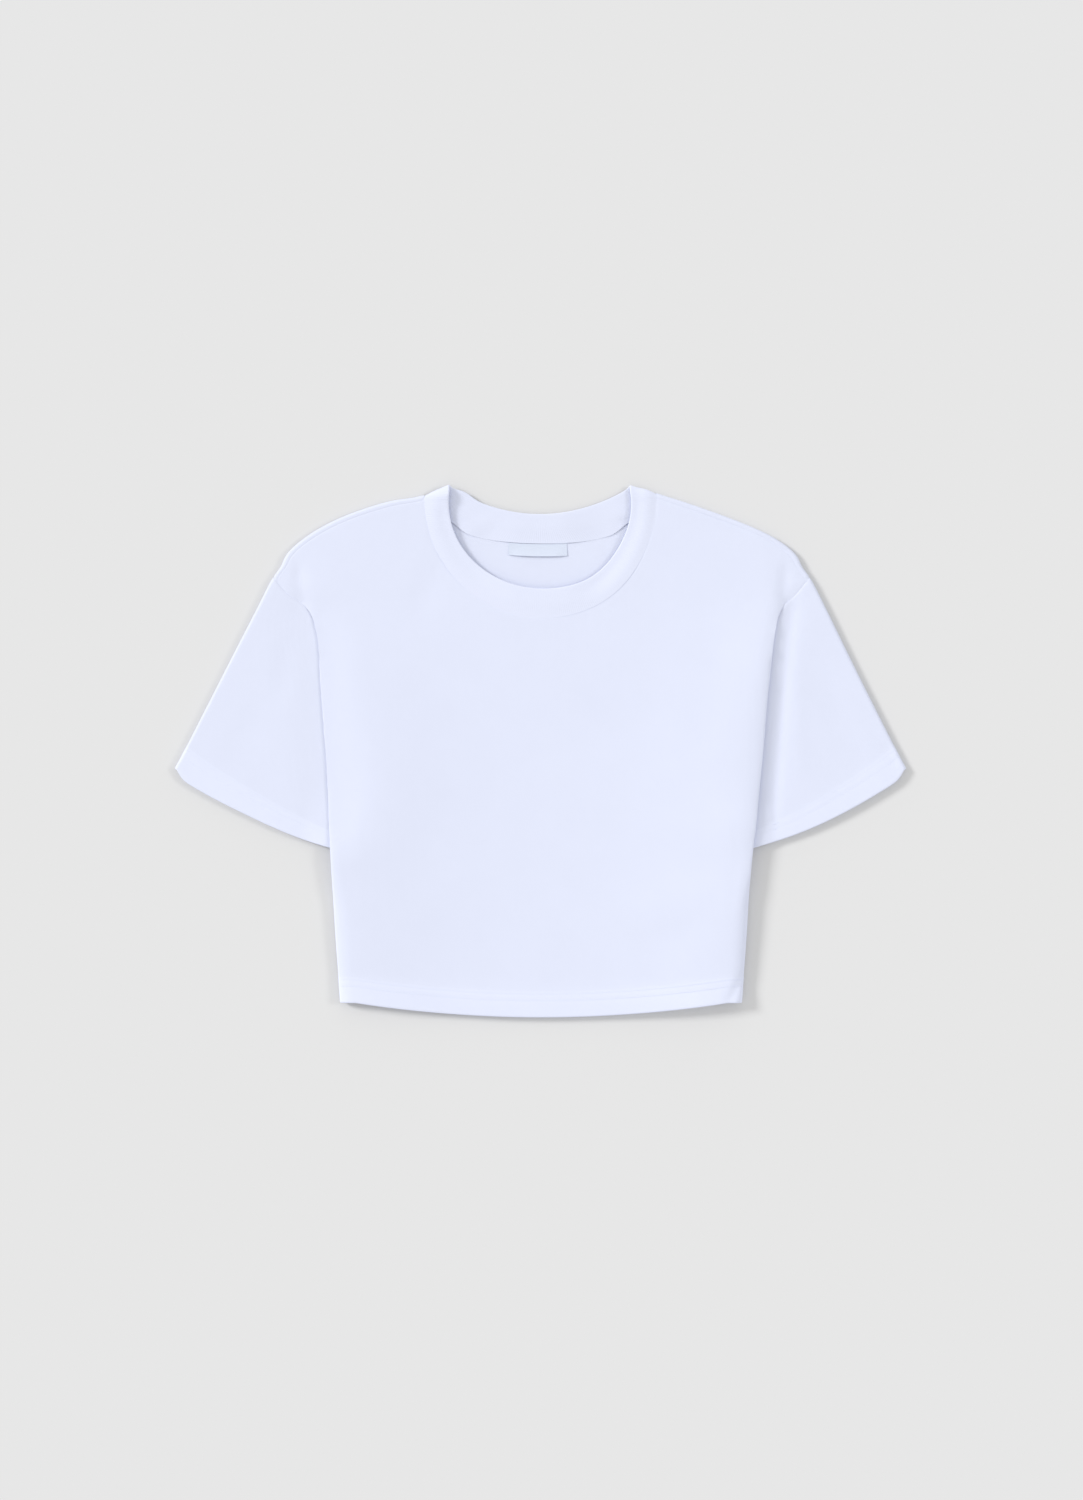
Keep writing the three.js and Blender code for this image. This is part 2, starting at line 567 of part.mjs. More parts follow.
// A closed ring with a flat section that is rounded along the free edge.
function neckband() {
  const { seam, free } = neckbandEdges();
  const half = seam.map((p, k) => ({ seam: p, free: free[k] }));
  const flip = (p) => new THREE.Vector3(-p.x, p.y, p.z);
  const otherHalf = half.slice(1, -1).reverse().map((s) => ({ seam: flip(s.seam), free: flip(s.free) }));
  const ring = [...half, ...otherHalf];
  const count = ring.length;
  const positions = [];
  const sectionSize = 10;
  ring.forEach((station, k) => {
    const before = ring[(k + count - 1) % count];
    const after = ring[(k + 1) % count];
    const width = new THREE.Vector3().subVectors(station.free, station.seam);
    const middleBefore = new THREE.Vector3().addVectors(before.seam, before.free);
    const middleAfter = new THREE.Vector3().addVectors(after.seam, after.free);
    const along = new THREE.Vector3().subVectors(middleAfter, middleBefore);
    const outward = new THREE.Vector3().crossVectors(along, width).normalize().multiplyScalar(RIB / 2);
    const inwardEdge = width.clone().normalize().multiplyScalar(RIB / 2);
    const section = [
      [0, 1, 0], [0.33, 1, 0], [0.66, 1, 0], [1, 1, -1], [1, 0.7, -0.3],
      [1, -0.7, -0.3], [1, -1, -1], [0.66, -1, 0], [0.33, -1, 0], [0, -1, 0],
    ];
    const level = new THREE.Vector3(width.x, width.y, 0).normalize();
    const atSeam = outward.clone().addScaledVector(level, -outward.dot(level)).setLength(RIB / 2);
    for (const [share, face, edge] of section) {
      const p = station.seam.clone().addScaledVector(width, share)
        .addScaledVector(share === 0 ? atSeam : outward, face).addScaledVector(inwardEdge, edge);
      positions.push(...p.toArray());
    }
  });
  const triangles = [];
  for (let k = 0; k < count; k += 1) {
    const next = (k + 1) % count;
    for (let m = 0; m < sectionSize; m += 1) {
      const a = k * sectionSize + m;
      const b = k * sectionSize + ((m + 1) % sectionSize);
      const c = next * sectionSize + ((m + 1) % sectionSize);
      const d = next * sectionSize + m;
      triangles.push(a, d, c, a, c, b);
    }
  }
  const geometry = new THREE.BufferGeometry();
  geometry.setAttribute('position', new THREE.Float32BufferAttribute(positions, 3));
  geometry.setIndex(triangles);
  return geometry;
}

// The label lies on the inside of the back, just below the neckband, and follows the curve of its seam.
const LABEL_WIDTH = 51;
const LABEL_HEIGHT = 12.5;
const LABEL_COLUMNS = 8;

function label() {
  const z = JERSEY + AIR + LABEL / 2;
  const rows = [0, 0.5, 1].map((up) => {
    const row = [];
    for (let j = 0; j <= LABEL_COLUMNS; j += 1) {
      const x = mix(-LABEL_WIDTH / 2, LABEL_WIDTH / 2, j / LABEL_COLUMNS);
      const seamAngle = Math.asin(x / NECK_HALF);
      const seamY = neckPoint(NECK_HALF, NECK_SIDE_Y, BACK_NECK_DROP, seamAngle, 0).y;
      row.push(new THREE.Vector3(x, seamY - 1 - LABEL_HEIGHT * (1 - up), z));
    }
    return row;
  });
  return clothWall([rows], LABEL);
}

const cotton = { color: 0xe7ebfb, roughness: 0.9, metalness: 0 };

function piece(name, geometry, material) {
  const mesh = new THREE.Mesh(geometry, new THREE.MeshStandardMaterial(material));
  mesh.name = name;
  return mesh;
}

const rightSleeve = sleeve();
const garment = new THREE.Group();
garment.add(
  piece('back_panel', backPanel(), cotton),
  piece('front_panel', frontPanel(), cotton),
  piece('sleeve_right', clothWall([rightSleeve], JERSEY), cotton),
  piece('sleeve_left', clothWall([mirrored(rightSleeve)], JERSEY), cotton),
  piece('neckband', neckband(), { ...cotton, roughness: 0.85 }),
  piece('neck_label', label(), { color: 0xdfe5f2, roughness: 0.45, metalness: 0 }),
);

export default garment;
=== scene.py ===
"""A boxy cropped T-shirt in white cotton jersey, laid face up on a pale surface.

Each sewn piece is a thin shell of cloth on the form of its CAD solid: the back, the front, two sleeves, the
ribbed neckband and a bare neck label, with the rows of stitches that hold the hems and the label.
"""

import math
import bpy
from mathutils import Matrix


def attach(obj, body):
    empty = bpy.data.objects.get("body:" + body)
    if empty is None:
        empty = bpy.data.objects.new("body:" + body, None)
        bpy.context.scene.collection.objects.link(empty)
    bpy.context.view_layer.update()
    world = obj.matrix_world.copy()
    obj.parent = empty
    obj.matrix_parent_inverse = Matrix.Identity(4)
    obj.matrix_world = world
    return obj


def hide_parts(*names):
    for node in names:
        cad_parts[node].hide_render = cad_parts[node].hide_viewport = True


bl_info = {
    "name": "Crop top",
    "version": (1, 0, 0),
    "blender": (4, 5, 0),
    "location": "View3D > Sidebar > Crop top",
    "description": "Builds a laid-out crop top in cotton jersey, piece by piece",
    "category": "Add Mesh",
}

import bpy
import numpy as np
from bpy.props import FloatProperty, FloatVectorProperty, PointerProperty

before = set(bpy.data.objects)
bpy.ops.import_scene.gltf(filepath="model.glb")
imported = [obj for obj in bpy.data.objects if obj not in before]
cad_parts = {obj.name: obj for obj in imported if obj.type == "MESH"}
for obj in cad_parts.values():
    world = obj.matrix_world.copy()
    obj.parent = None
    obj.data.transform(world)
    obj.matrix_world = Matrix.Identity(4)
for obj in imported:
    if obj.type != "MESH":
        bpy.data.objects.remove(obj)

MM = 0.001

# Layers of cloth, as in the solids. Lengths are in millimetres from here to the property groups.
LAYER = 1.1
PITCH = 1.45  # from one layer to the next where they lie on each other
BACK_Z = 0.55
UNDERSIDE_Z = 0.2  # the lowest cloth lies flat here, on its threads
FRONT_Z = 4.7
EDGE_Z = 4.95
BACK_RETURN_Z = BACK_Z + PITCH
SLEEVE_NEST_Z = BACK_RETURN_Z + PITCH
ROLL_RADIUS = (EDGE_Z - BACK_Z) / 2
TURN_UP = 21.0  # the hem's raw edge, just past its upper row of stitches
SEAM_GAP = 0.12  # between two layers that are sewn to each other
ARMHOLE_DIP = 0.4
SHOULDER_DIP = 0.25
NECK_DIP = 0.12
ROLL_NECK_DIP = 0.15
RUMPLE = 0.3  # height of the slow waves in the cloth

# Body outline
HEM_CORNER_Y = -220.4
HEM_CENTRE_Y = -233.35
UNDERARM_Y = 0.0
SLEEVE_FULL_Y = -40.0
ARMHOLE_OPEN_Y = 60.0
CHEST_Y = 124.0
SEAM_END_Y = 150.1
SEAM_TURN = 2.0
SETTLE = 24.0
ROLL_START = 14.0
FRONT_RISE = 105.0
FRONT_PUFF = 1.2

# Neckline on its seam, and the neckband's free folded edge
NECK_HALF = 102.0
NECK_SIDE_Y = 221.8
FRONT_NECK_DROP = 105.5
BACK_NECK_DROP = 40.8
OPENING_HALF = 80.0
OPENING_SIDE_Y = 217.0
FRONT_OPENING_DROP = 74.3
BACK_OPENING_Y = 208.0
BACK_OPENING_SIDE = (77.5, 230.2, 3.8)
STAND_SIDE_Z = 8.2
STAND_BACK_Z = 3.2
NECK_ROWS = 60  # rows of points along a quarter of the neck, before they are spaced by the ribs
POINTS_PER_RIB = 6

# Neck label
LABEL_WIDE = 51.4
LABEL_HIGH = 10.5
LABEL_THICK = 0.34
LABEL_OFF_CENTRE = 2.2

# Shoulder outline from the neck to the armhole seam
SHOULDER = ((103.7, 226.4), (187.0, 203.5), (224.0, 185.0), (236.5, 152.5))
SHOULDER_SEAM_FORWARD = 2.0
ARMHOLE_LEAN = 0.558

# Sleeves
CUFF_CORNER = np.array((323.8, -19.5))
CUFF_INNER = np.array((176.0, -87.0))
CUFF_BOW = 7.7
CUFF_NEST = 2 * LAYER + PITCH
UNDERARM_CLEARANCE = 3.4
SLEEVE_LENGTH = 160.0

# The right side of the body, level by level: half width to the rolled edge and to the seam behind it, height
# of the front beside the rolled edge, and distance between the sleeve's two layers in the fold.
SIDE_COLUMNS = ("y", "fold", "seam", "top", "nest")
SIDE_LEVELS = (
    (HEM_CORNER_Y, 176.8, 176.2, 7.0, 0),
    (-165, 181.0, 180.3, 7.9, 0),
    (-135, 182.8, 180.6, 8.8, 0),
    (-112, 184.1, 177.2, 10.2, 1.6),
    (-92, 185.2, 172.2, 11.4, CUFF_NEST),
    (-64, 187.3, 166.6, 11.6, CUFF_NEST),
    (-44, 188.7, 163.6, 10.6, 1.9),
    (0, 192.4, 161.0, 9.9, PITCH),
    (40, 195.3, 172.0, 9.8, PITCH),
    (70, 197.8, 182.5, 9.6, PITCH),
    (90, 200.2, 191.5, 9.3, PITCH),
    (104, 202.6, 199.8, 8.9, PITCH),
    (114, 204.5, 206.8, 8.4, PITCH),
    (CHEST_Y, 206.5, 214, 7.7, PITCH),
    (SEAM_END_Y, 212, 234.5, 5.5, PITCH),
)
SIDE = dict(zip(SIDE_COLUMNS, zip(*SIDE_LEVELS)))

# How far each part of the garment lies from its even place, to the right and up in the picture, first for
# its left half and then for its right half.
SHIFTS = {
    "shoulder": ((0, 2.4), (0, -2.4)),
    "sleeve head": ((3.0, 0), (-3.0, 0)),
    "outer sleeve": ((0, 0), (-1.7, 0)),
    "chest beside the neck": ((0, -2.2), (0, -2.2)),
    "neck": ((-1.3, 0), (-1.3, 0)),
    "corner of the cuff": ((2.0, 4.6), (-2.0, 4.6)),
    "end of the armhole seam": ((0, 7), (0, 7)),
    "fold": ((2.2, 0), (0, 0)),
    "top of the fold": ((2.3, 0), (0, 0)),
    "underarm of the sleeve": ((0, 1.8), (0, 0)),
    "tip of the neck": ((1.4, 0), (-1.9, 0)),
    "middle of the back neck": ((0, 1.2), (0, 1.2)),
    "shoulder by the neck": ((0, -2.6), (0, 0)),
    "band by the right tip": ((0, 0), (0, 1.3)),
    "band by the left tip": ((0, 3.0), (0, 3.0)),
    "hidden end of the back seam": ((0, 5.5), (0, 5.5)),
}
RIGHT_FOLD = {
    "y": (-120, -90, -60, -8, 45, 80, 115, 145),
    "out": (-1.4, 0, 1.8, 2.6, 2.8, 3.5, 2.3, 0),
}

# Share of its height that each part has gained, or lost where it is below zero.
LIFTS = {
    "left fold": -0.31,
    "left sleeve by the fold": -0.03,
    "right fold": 0.08,
    "right sleeve by the fold": -0.22,
    "left side": 0.2,
    "right side": 0.5,
    "hem": 0.25,
    "upper left of the neckband": 0.1,
    "lower left of the neckband": -0.25,
    "right of the neckband": -0.32,
}

# Soft creases that the cloth was left with. x and y: the middle. turn: degrees from the X axis. long, wide:
# half sizes. rise: height at the middle, below zero for a trough.
CREASE_COLUMNS = ("x", "y", "turn", "long", "wide", "rise")
CREASES = {
    "front": (
        (-98, 146, 68, 24, 11, -0.55),
        (113, 133, -20, 40, 13, -0.5),
        (213, 143, 84, 20, 6.5, -1.1),
        (-212, 143, 96, 20, 6.5, -1.1),
        (150, 60, 80, 70, 20, -0.5),
        (-150, 20, 86, 80, 20, -0.4),
        (40, 20, 12, 80, 24, -0.35),
        (-60, -60, -14, 76, 22, -0.35),
        (109, -208, -20, 26, 8, -0.5),
        (120, -160, 40, 50, 16, -0.35),
        (170, -210, 60, 13, 4.5, -0.7),
        (-120, -170, -35, 46, 16, -0.25),
    ),
    "sleeve_left": (
        (-228, 72, 84, 26, 9, -0.6),
        (-262, 10, 58, 40, 14, -0.3),
    ),
    "sleeve_right": (
        (223, 30, 94, 60, 8, 0.4),
        (250, 60, 112, 40, 13, -0.45),
        (308, -6, 128, 12, 4, -0.5),
        (272, 4, 120, 34, 12, -0.3),
    ),
    "back": (
        (-40, 60, 14, 90, 20, 0.5),
        (60, -70, -18, 80, 20, 0.5),
        (110, 130, 40, 50, 14, 0.6),
        (-110, -150, 60, 50, 16, 0.5),
        (-130, 140, -38, 44, 13, 0.6),
    ),
}

# Camera and light, in metres, but the lens in millimetres
CAMERA_PLACE = (0, 0.0006, 2.6)
LENS = 70.92
SURFACE_REACH = 20.0
SKY_STRENGTH = 0.75
LAMP_ANGLE = math.radians(14)
LAMPS = {
    "key": {"energy": 1.98, "place": (-1.4, 0.6, 0.79)},
    "fill": {"energy": 0.59, "place": (1.5, 0.2, 0.98)},
}


class CropTopSizes(bpy.types.PropertyGroup):
    """Sizes of the cloth and of its stitches"""

    jersey: FloatProperty(
        name="Jersey thickness", description="One layer of the jersey", default=0.85 * MM, unit="LENGTH"
    )
    rib: FloatProperty(
        name="Neckband thickness", description="The rib folded double", default=2.3 * MM, unit="LENGTH"
    )
    rib_pitch: FloatProperty(
        name="Rib pitch", description="From one rib to the next", default=1.6 * MM, unit="LENGTH"
    )
    rib_relief: FloatProperty(
        name="Rib relief", description="Height of the ribs of the neckband", default=0.06 * MM, unit="LENGTH"
    )
    stitch_pitch: FloatProperty(
        name="Stitch pitch", description="From one stitch to the next", default=2.9 * MM, unit="LENGTH"
    )
    stitch_length: FloatProperty(
        name="Stitch length", description="Length of thread that shows", default=2.35 * MM, unit="LENGTH"
    )
    thread: FloatProperty(
        name="Thread radius", description="Half the width of a stitch", default=0.17 * MM, unit="LENGTH"
    )


class CropTopColours(bpy.types.PropertyGroup):
    """Colours of the cloth, the threads and the surface"""

    jersey: FloatVectorProperty(
        name="Jersey", description="Brightened white cotton", subtype="COLOR", default=(0.70, 0.735, 0.875)
    )
    rib: FloatVectorProperty(
        name="Neckband", description="Rib of the same cotton", subtype="COLOR", default=(0.705, 0.739, 0.878)
    )
    thread: FloatVectorProperty(
        name="Thread", description="Sewing thread", subtype="COLOR", default=(0.74, 0.77, 0.88)
    )
    label: FloatVectorProperty(
        name="Label", description="Bare woven tab", subtype="COLOR", default=(0.66, 0.715, 0.84)
    )
    surface: FloatVectorProperty(
        name="Surface", description="What the garment lies on", subtype="COLOR", default=(0.70, 0.70, 0.70)
    )


def mix(a, b, share):
    return a + (b - a) * share


def smooth(low, high, x):
    t = np.clip((np.asarray(x, float) - low) / (high - low), 0, 1)
    return t * t * (3 - 2 * t)


def bell(x, wide):
    return np.exp(-((x / wide) ** 2))


def side(column, y):
    """One column of the side table at any level, on a smooth curve through its rows."""
    ys, values = SIDE["y"], SIDE[column]
    k = 0
    while k < len(ys) - 2 and y > ys[k + 1]:
        k += 1
    before, after = max(k - 1, 0), min(k + 2, len(ys) - 1)
    width = ys[k + 1] - ys[k]
    slope_low = width * (values[k + 1] - values[before]) / (ys[k + 1] - ys[before])
    slope_high = width * (values[after] - values[k]) / (ys[after] - ys[k])
    t = (y - ys[k]) / width
    rise = 3 * t * t - 2 * t**3
    return (
        values[k] * (1 - rise)
        + values[k + 1] * rise
        + slope_low * t * (1 - t) ** 2
        - slope_high * t * t * (1 - t)
    )


def overhang(y):
    return side("fold", y) - side("seam", y)


def outside(x, y):
    return float(smooth(1.5, SETTLE, x - side("fold", y)))


def sleeve_back_z(x, y):
    lifted = 1.0 if y < UNDERARM_Y else float(smooth(-13, -2, overhang(y)))
    return mix(BACK_Z, SLEEVE_NEST_Z, lifted * (1 - outside(x, y)))


def sleeve_front_z(x, y):
    return mix(SLEEVE_NEST_Z + max(side("nest", y), PITCH), EDGE_Z, outside(x, y))


def creased(x, y, creases):
    """Height that the creases add at the points x, y."""
    height = np.zeros_like(x)
    for row in creases:
        c = dict(zip(CREASE_COLUMNS, row))
        turn = math.radians(c["turn"])
        along = (x - c["x"]) * math.cos(turn) + (y - c["y"]) * math.sin(turn)
        across = (y - c["y"]) * math.cos(turn) - (x - c["x"]) * math.sin(turn)
        height += c["rise"] * np.exp(-((along / c["long"]) ** 4)) * bell(across, c["wide"])
    return height


def rumpled(x, y):
    """Slow, low waves in cloth that hasn't been pressed quite flat, from -1 to 1."""
    return (
        np.sin(x / 27 + 1.1 * np.sin(y / 41)) * np.sin(y / 33 + 0.7)
        + 0.7 * np.sin((x + y) / 37 + 2.0) * np.sin((x - 0.6 * y) / 52)
    ) / 1.7


def window(low, full, still_full, high, x):
    """1 between full and still_full, falling to 0 at low and high."""
    return smooth(low, full, x) * (1 - smooth(still_full, high, x))


def shifted_parts(x, y, z):
    """How much each point belongs to each part in SHIFTS, from 0 to 1."""
    wide = np.abs(x)
    fold = bell(wide - 200, 32)
    by_neck = smooth(205, 225, y)
    under = 1 - smooth(3.0, 3.6, z)
    return {
        "shoulder": bell(wide - 165, 55) * smooth(150, 200, y),
        "sleeve head": bell(y - 162, 8) * smooth(205, 236, wide),
        "outer sleeve": smooth(225, 300, wide),
        "chest beside the neck": bell(x - 48, 32) * bell(y - 152, 28),
        "neck": smooth(140, 190, y) * (1 - smooth(95, 130, wide)),
        "corner of the cuff": bell(np.hypot(wide - CUFF_CORNER[0], y - CUFF_CORNER[1]), 8),
        "end of the armhole seam": bell(np.hypot(wide - 209, y - 119), 16),
        "fold": fold * window(-85, 0, 110, 150, y),
        "top of the fold": fold * bell(y - 105, 30),
        "underarm of the sleeve": bell(wide - 262, 40) * (1 - smooth(-60, 20, y)),
        "tip of the neck": bell(wide - 83, 9) * smooth(219, 231, y),
        "middle of the back neck": bell(x, 45) * bell(y - 181, 12),
        "shoulder by the neck": bell(wide - 108, 18) * by_neck,
        "band by the right tip": bell(wide - 97, 8) * by_neck,
        "band by the left tip": bell(x + 66, 9) * smooth(212, 222, y),
        "hidden end of the back seam": under * window(60, 80, 88, 100, wide) * bell(y - 195, 9),
    }


def as_laid(points):
    """Moves points from the garment's even form to the way that it came to lie."""
    x, y, z = points.T
    left = (x < 0)[:, None]
    laid = points.copy()
    for part, share in shifted_parts(x, y, z).items():
        laid[:, :2] += share[:, None] * np.where(left, *np.array(SHIFTS[part], float))
    laid[:, 0] += (x > 0) * np.interp(y, RIGHT_FOLD["y"], RIGHT_FOLD["out"]) * bell(np.abs(x) - 200, 32)
    laid[:, 2] = settled(x, y, z)
    return laid


def settled(x, y, z):
    """Heights of the cloth as it came to lie, from its even heights."""
    left, right, wide = x <= 0, x > 0, np.abs(x)
    outward = wide - np.interp(y, SIDE["y"], SIDE["fold"])
    beside_sleeve = window(-100, -60, 112, 150, y)
    below_sleeve = 1 - smooth(-150, -90, y)
    low_side = below_sleeve * smooth(20, 160, wide)
    neck_radius = np.hypot(x / NECK_HALF, np.minimum(y - NECK_SIDE_Y, 0) / FRONT_NECK_DROP)
    neckband = (1 - smooth(0.82, 0.97, neck_radius)) * smooth(110, 140, y)
    parts = {
        "left fold": left * beside_sleeve * bell(outward + 4, 26),
        "left sleeve by the fold": left * beside_sleeve * bell(outward - 12, 9),
        "right fold": right * beside_sleeve * bell(outward + 12, 24),
        "right sleeve by the fold": right * beside_sleeve * bell(outward - 12, 11),
        "left side": left * low_side,
        "right side": right * low_side,
        "hem": below_sleeve * (1 - smooth(-230, -196, y)),
        "upper left of the neckband": left * neckband * smooth(50, 75, wide) * smooth(218, 226, y),
        "lower left of the neckband": left * neckband * smooth(20, 60, wide) * (1 - smooth(204, 224, y)),
        "right of the neckband": right * neckband * smooth(20, 60, wide),
    }
    height = z * (1 + sum(LIFTS[part] * share for part, share in parts.items()))

    # The top of the left fold is pressed, and the right sleeve's upper layer sags along the fold.
    pressed = left * smooth(6.4, 9.8, z) * bell(outward + 6, 26)
    sagging = right * window(3.6, 4.7, 5, 6, z) * window(4, 12, 15, 21, outward)
    return height - (pressed + sagging) * beside_sleeve


def shoulder_point(share, turn, forward=0.0):
    """A point of the shoulder roll: share runs from the neck to the armhole, turn from under to over."""
    p = [np.array(q) for q in SHOULDER]
    u = 1 - share
    outline = u**3 * p[0] + 3 * share * u * u * p[1] + 3 * share**2 * u * p[2] + share**3 * p[3]
    along = u * u * (p[1] - p[0]) + 2 * share * u * (p[2] - p[1]) + share**2 * (p[3] - p[2])
    along /= np.linalg.norm(along)
    out = np.array((-along[1], along[0]))
    reach = ROLL_RADIUS * math.cos(turn) - ROLL_RADIUS - LAYER / 2 - forward
    place = outline + out * reach - along * reach * ARMHOLE_LEAN * share**12
    return np.array((place[0], place[1], (EDGE_Z + BACK_Z) / 2 + ROLL_RADIUS * math.sin(turn)))


# Columns across half a panel: close together beside the neck seam, even across the flat, then round the
# roll. Levels are distances up from the hem.
FLAT_SHARES = (0, 0.005, 0.013, *np.linspace(0.03, 1, 44))
ROLL_SHARES = np.linspace(0, 1, 27)[1:]
CROWDED_SHARES = np.concatenate((np.linspace(0, 0.93, 17)[1:], np.linspace(0.94, 1, 10)))
FLAT_SHARE_OF_SHOULDER = 0.6
UPPER_SHARES = np.concatenate((np.linspace(0, 0.975, 36), (0.988, 0.996, 1)))
HEM_LEVELS = (0, 1.2, 3, 5.5, 8.5, 11.5, 13.2, 13.8, 14.4, 16, 17.6, 19, 19.6, 20.2, 21, 22.5, 25)
HEM_ROWS = [k for k, d in enumerate(HEM_LEVELS) if d <= TURN_UP]
STITCH_LEVELS = (13.8, 19.6)
STITCH_PROUD = 0.04


def levels():
    """Side levels of a panel's rows from the hem to the chest."""
    rows = [HEM_CORNER_Y + d for d in HEM_LEVELS]
    rows += list(np.arange(rows[-1] + 4, -10, 4.1))
    rows += [-9, -7, -5, -3, -1, 1, 3]
    rows += list(np.linspace(6.5, CHEST_Y, 36))
    return rows


def shown_seam_row():
    """The row from which the armhole seam shows, above the fold."""
    return sum(y < ARMHOLE_OPEN_Y + 25 for y in levels())


def panel_row(y, centre_y, facing, dip):
    """One row of half a panel, from the middle to the seam. facing: 1 for the front, -1 for the back."""
    fold, seam, top, nest = (float(side(c, y)) for c in ("fold", "seam", "top", "nest"))
    tuck = float(smooth(0, 7, fold - seam))
    folding = 1.0 if y > ARMHOLE_OPEN_Y else tuck
    below_underarm = 1 - float(smooth(-8, 0, y))
    front = facing > 0
    flat_z = top if front else BACK_Z
    nest = max(nest, PITCH if y > SLEEVE_FULL_Y else 0)
    return_z = SLEEVE_NEST_Z + nest + min(nest, PITCH) if front else BACK_RETURN_Z
    middle_z = mix(top / 2, BACK_RETURN_Z + PITCH + float(side("nest", y)) / 2, tuck)
    beside = 1 - float(smooth(-9, -1, fold - seam)) if y > ARMHOLE_OPEN_Y else 0.0
    side_end_z = middle_z + facing * 0.06
    end_x = seam - SEAM_GAP * min(beside * 4, 1)

    # A curve with four handles goes round the roll, and reaches the fold's edge at its widest.
    start = min(seam, fold - ROLL_START)
    handle_x = (fold - LAYER / 2 - (start + end_x) / 8) / 0.75
    handle_z = mix(side_end_z, flat_z, 0.6)
    folded_z = folded_handle_z = return_z
    if y > ARMHOLE_OPEN_Y:
        sleeve_z = sleeve_front_z(seam, y) if front else sleeve_back_z(seam, y)
        folded_z = sleeve_z + facing * PITCH * (1 - beside)
        arrival = math.sin(math.pi * float(smooth(-8, 6, fold - seam)))
        folded_handle_z = folded_z + arrival * (2.0 if front else -0.8)
    control = np.array(
        (
            (start, flat_z),
            (mix(mix(start, end_x, 0.6), handle_x, folding), flat_z + (FRONT_PUFF if front else 0) * tuck),
            (mix(end_x, handle_x, folding), mix(handle_z, folded_handle_z, folding)),
            (end_x, mix(side_end_z, folded_z, folding)),
        )
    )

    shares = np.array(FLAT_SHARES)
    x = start * shares
    row_y = mix(centre_y, y, shares**2) - dip * np.sin(math.pi * shares)
    z = mix(FRONT_Z, flat_z, smooth(start - FRONT_RISE, start, x)) if front else np.full_like(x, BACK_Z)
    flat = np.column_stack((x, row_y, z))

    t = mix(ROLL_SHARES, CROWDED_SHARES, (1 - float(smooth(4, ARMHOLE_OPEN_Y, y))) * tuck)
    weights = np.array(((1 - t) ** 3, 3 * t * (1 - t) ** 2, 3 * t * t * (1 - t), t**3))
    rolled = weights.T @ control

    # Below the underarm the cloth turns into the side seam. Along the sleeve it reaches right to the fold.
    near_seam = np.clip(1 - (rolled[:, 0] - end_x) / SEAM_TURN, 0, 1)
    turn_in = (1 - np.sqrt(1 - near_seam**2)) * below_underarm * tuck * (t > 0.9)
    rolled[:, 1] = mix(rolled[:, 1], side_end_z, turn_in)
    edge = max(rolled[:, 0].max(), fold - 4)
    short = (fold - LAYER / 2 - edge) * (1 - float(smooth(-100, -84, y)))
    rolled[:, 0] += short * np.clip((rolled[:, 0] - start) / (edge - start), 0, 1)
    roll = np.column_stack((rolled[:, 0], np.full(len(t), y), rolled[:, 1]))
    return np.vstack((flat, roll))


def body_rows(neck_bottom_y, facing):
    """Half of the front or back from the hem to the chest, where the cloth divides round the neck."""
    rows = []
    for y in levels():
        share = (y - HEM_CORNER_Y) / (CHEST_Y - HEM_CORNER_Y)
        sag = mix(HEM_CENTRE_Y - HEM_CORNER_Y, neck_bottom_y - CHEST_Y, share**2)
        rows.append(panel_row(y, y + sag, facing, 17 * share**4))
    return np.array(rows)


def shoulder_row(turn, forward=0.0):
    flat = np.array(FLAT_SHARES) * FLAT_SHARE_OF_SHOULDER
    shares = np.concatenate((flat, mix(FLAT_SHARE_OF_SHOULDER, 1, ROLL_SHARES)))
    row = np.array([shoulder_point(s, turn, forward) for s in shares])
    row[:4, 0] -= (row[0, 0] - NECK_HALF - 0.06) * np.array((1, 0.7, 0.35, 0.1))
    row[-1, 0] -= SEAM_GAP
    return row


def neck_point(half, side_y, drop, angle, z):
    return np.array((half * math.sin(angle), side_y - drop * math.cos(angle), z))


def neck_edge(drop, low_z, high_z, last=None):
    """A panel's edge along the neckband, from its middle to the side of the neck."""
    steps = UPPER_SHARES if last is None else UPPER_SHARES[:-1] / UPPER_SHARES[-2]
    points = [
        neck_point(NECK_HALF + 0.05, NECK_SIDE_Y, drop + 0.05, s * math.pi / 2, mix(low_z, high_z, s))
        for s in steps
    ]
    return np.array(points if last is None else points + [last])


def upper_armhole(facing, end):
    short = end[0] - side("seam", end[1]) + SEAM_GAP
    points = []
    for s in UPPER_SHARES:
        y = mix(CHEST_Y, end[1], s)
        x = side("seam", y) - SEAM_GAP + short * s**4
        z = sleeve_front_z(x, y) if facing > 0 else sleeve_back_z(x, y)
        points.append((x, y, mix(z, end[2], s**2)))
    return np.array(points)


def patch_between(bottom, top, left, right):
    """A surface between four edge curves that meet at its corners."""
    left, right = left.copy(), right.copy()
    left[0], left[-1], right[0], right[-1] = bottom[0], top[0], bottom[-1], top[-1]
    v = UPPER_SHARES[:, None, None]
    columns = np.concatenate((FLAT_SHARES, 1 + ROLL_SHARES * 0.25))
    u = (columns / columns[-1])[None, :, None]
    ruled = (1 - v) * bottom[None] + v * top[None] + (1 - u) * left[:, None] + u * right[:, None]
    counted_twice = (1 - u) * ((1 - v) * bottom[0] + v * top[0]) + u * ((1 - v) * bottom[-1] + v * top[-1])
    patch = ruled - counted_twice
    patch[0], patch[-1] = bottom, top
    return patch


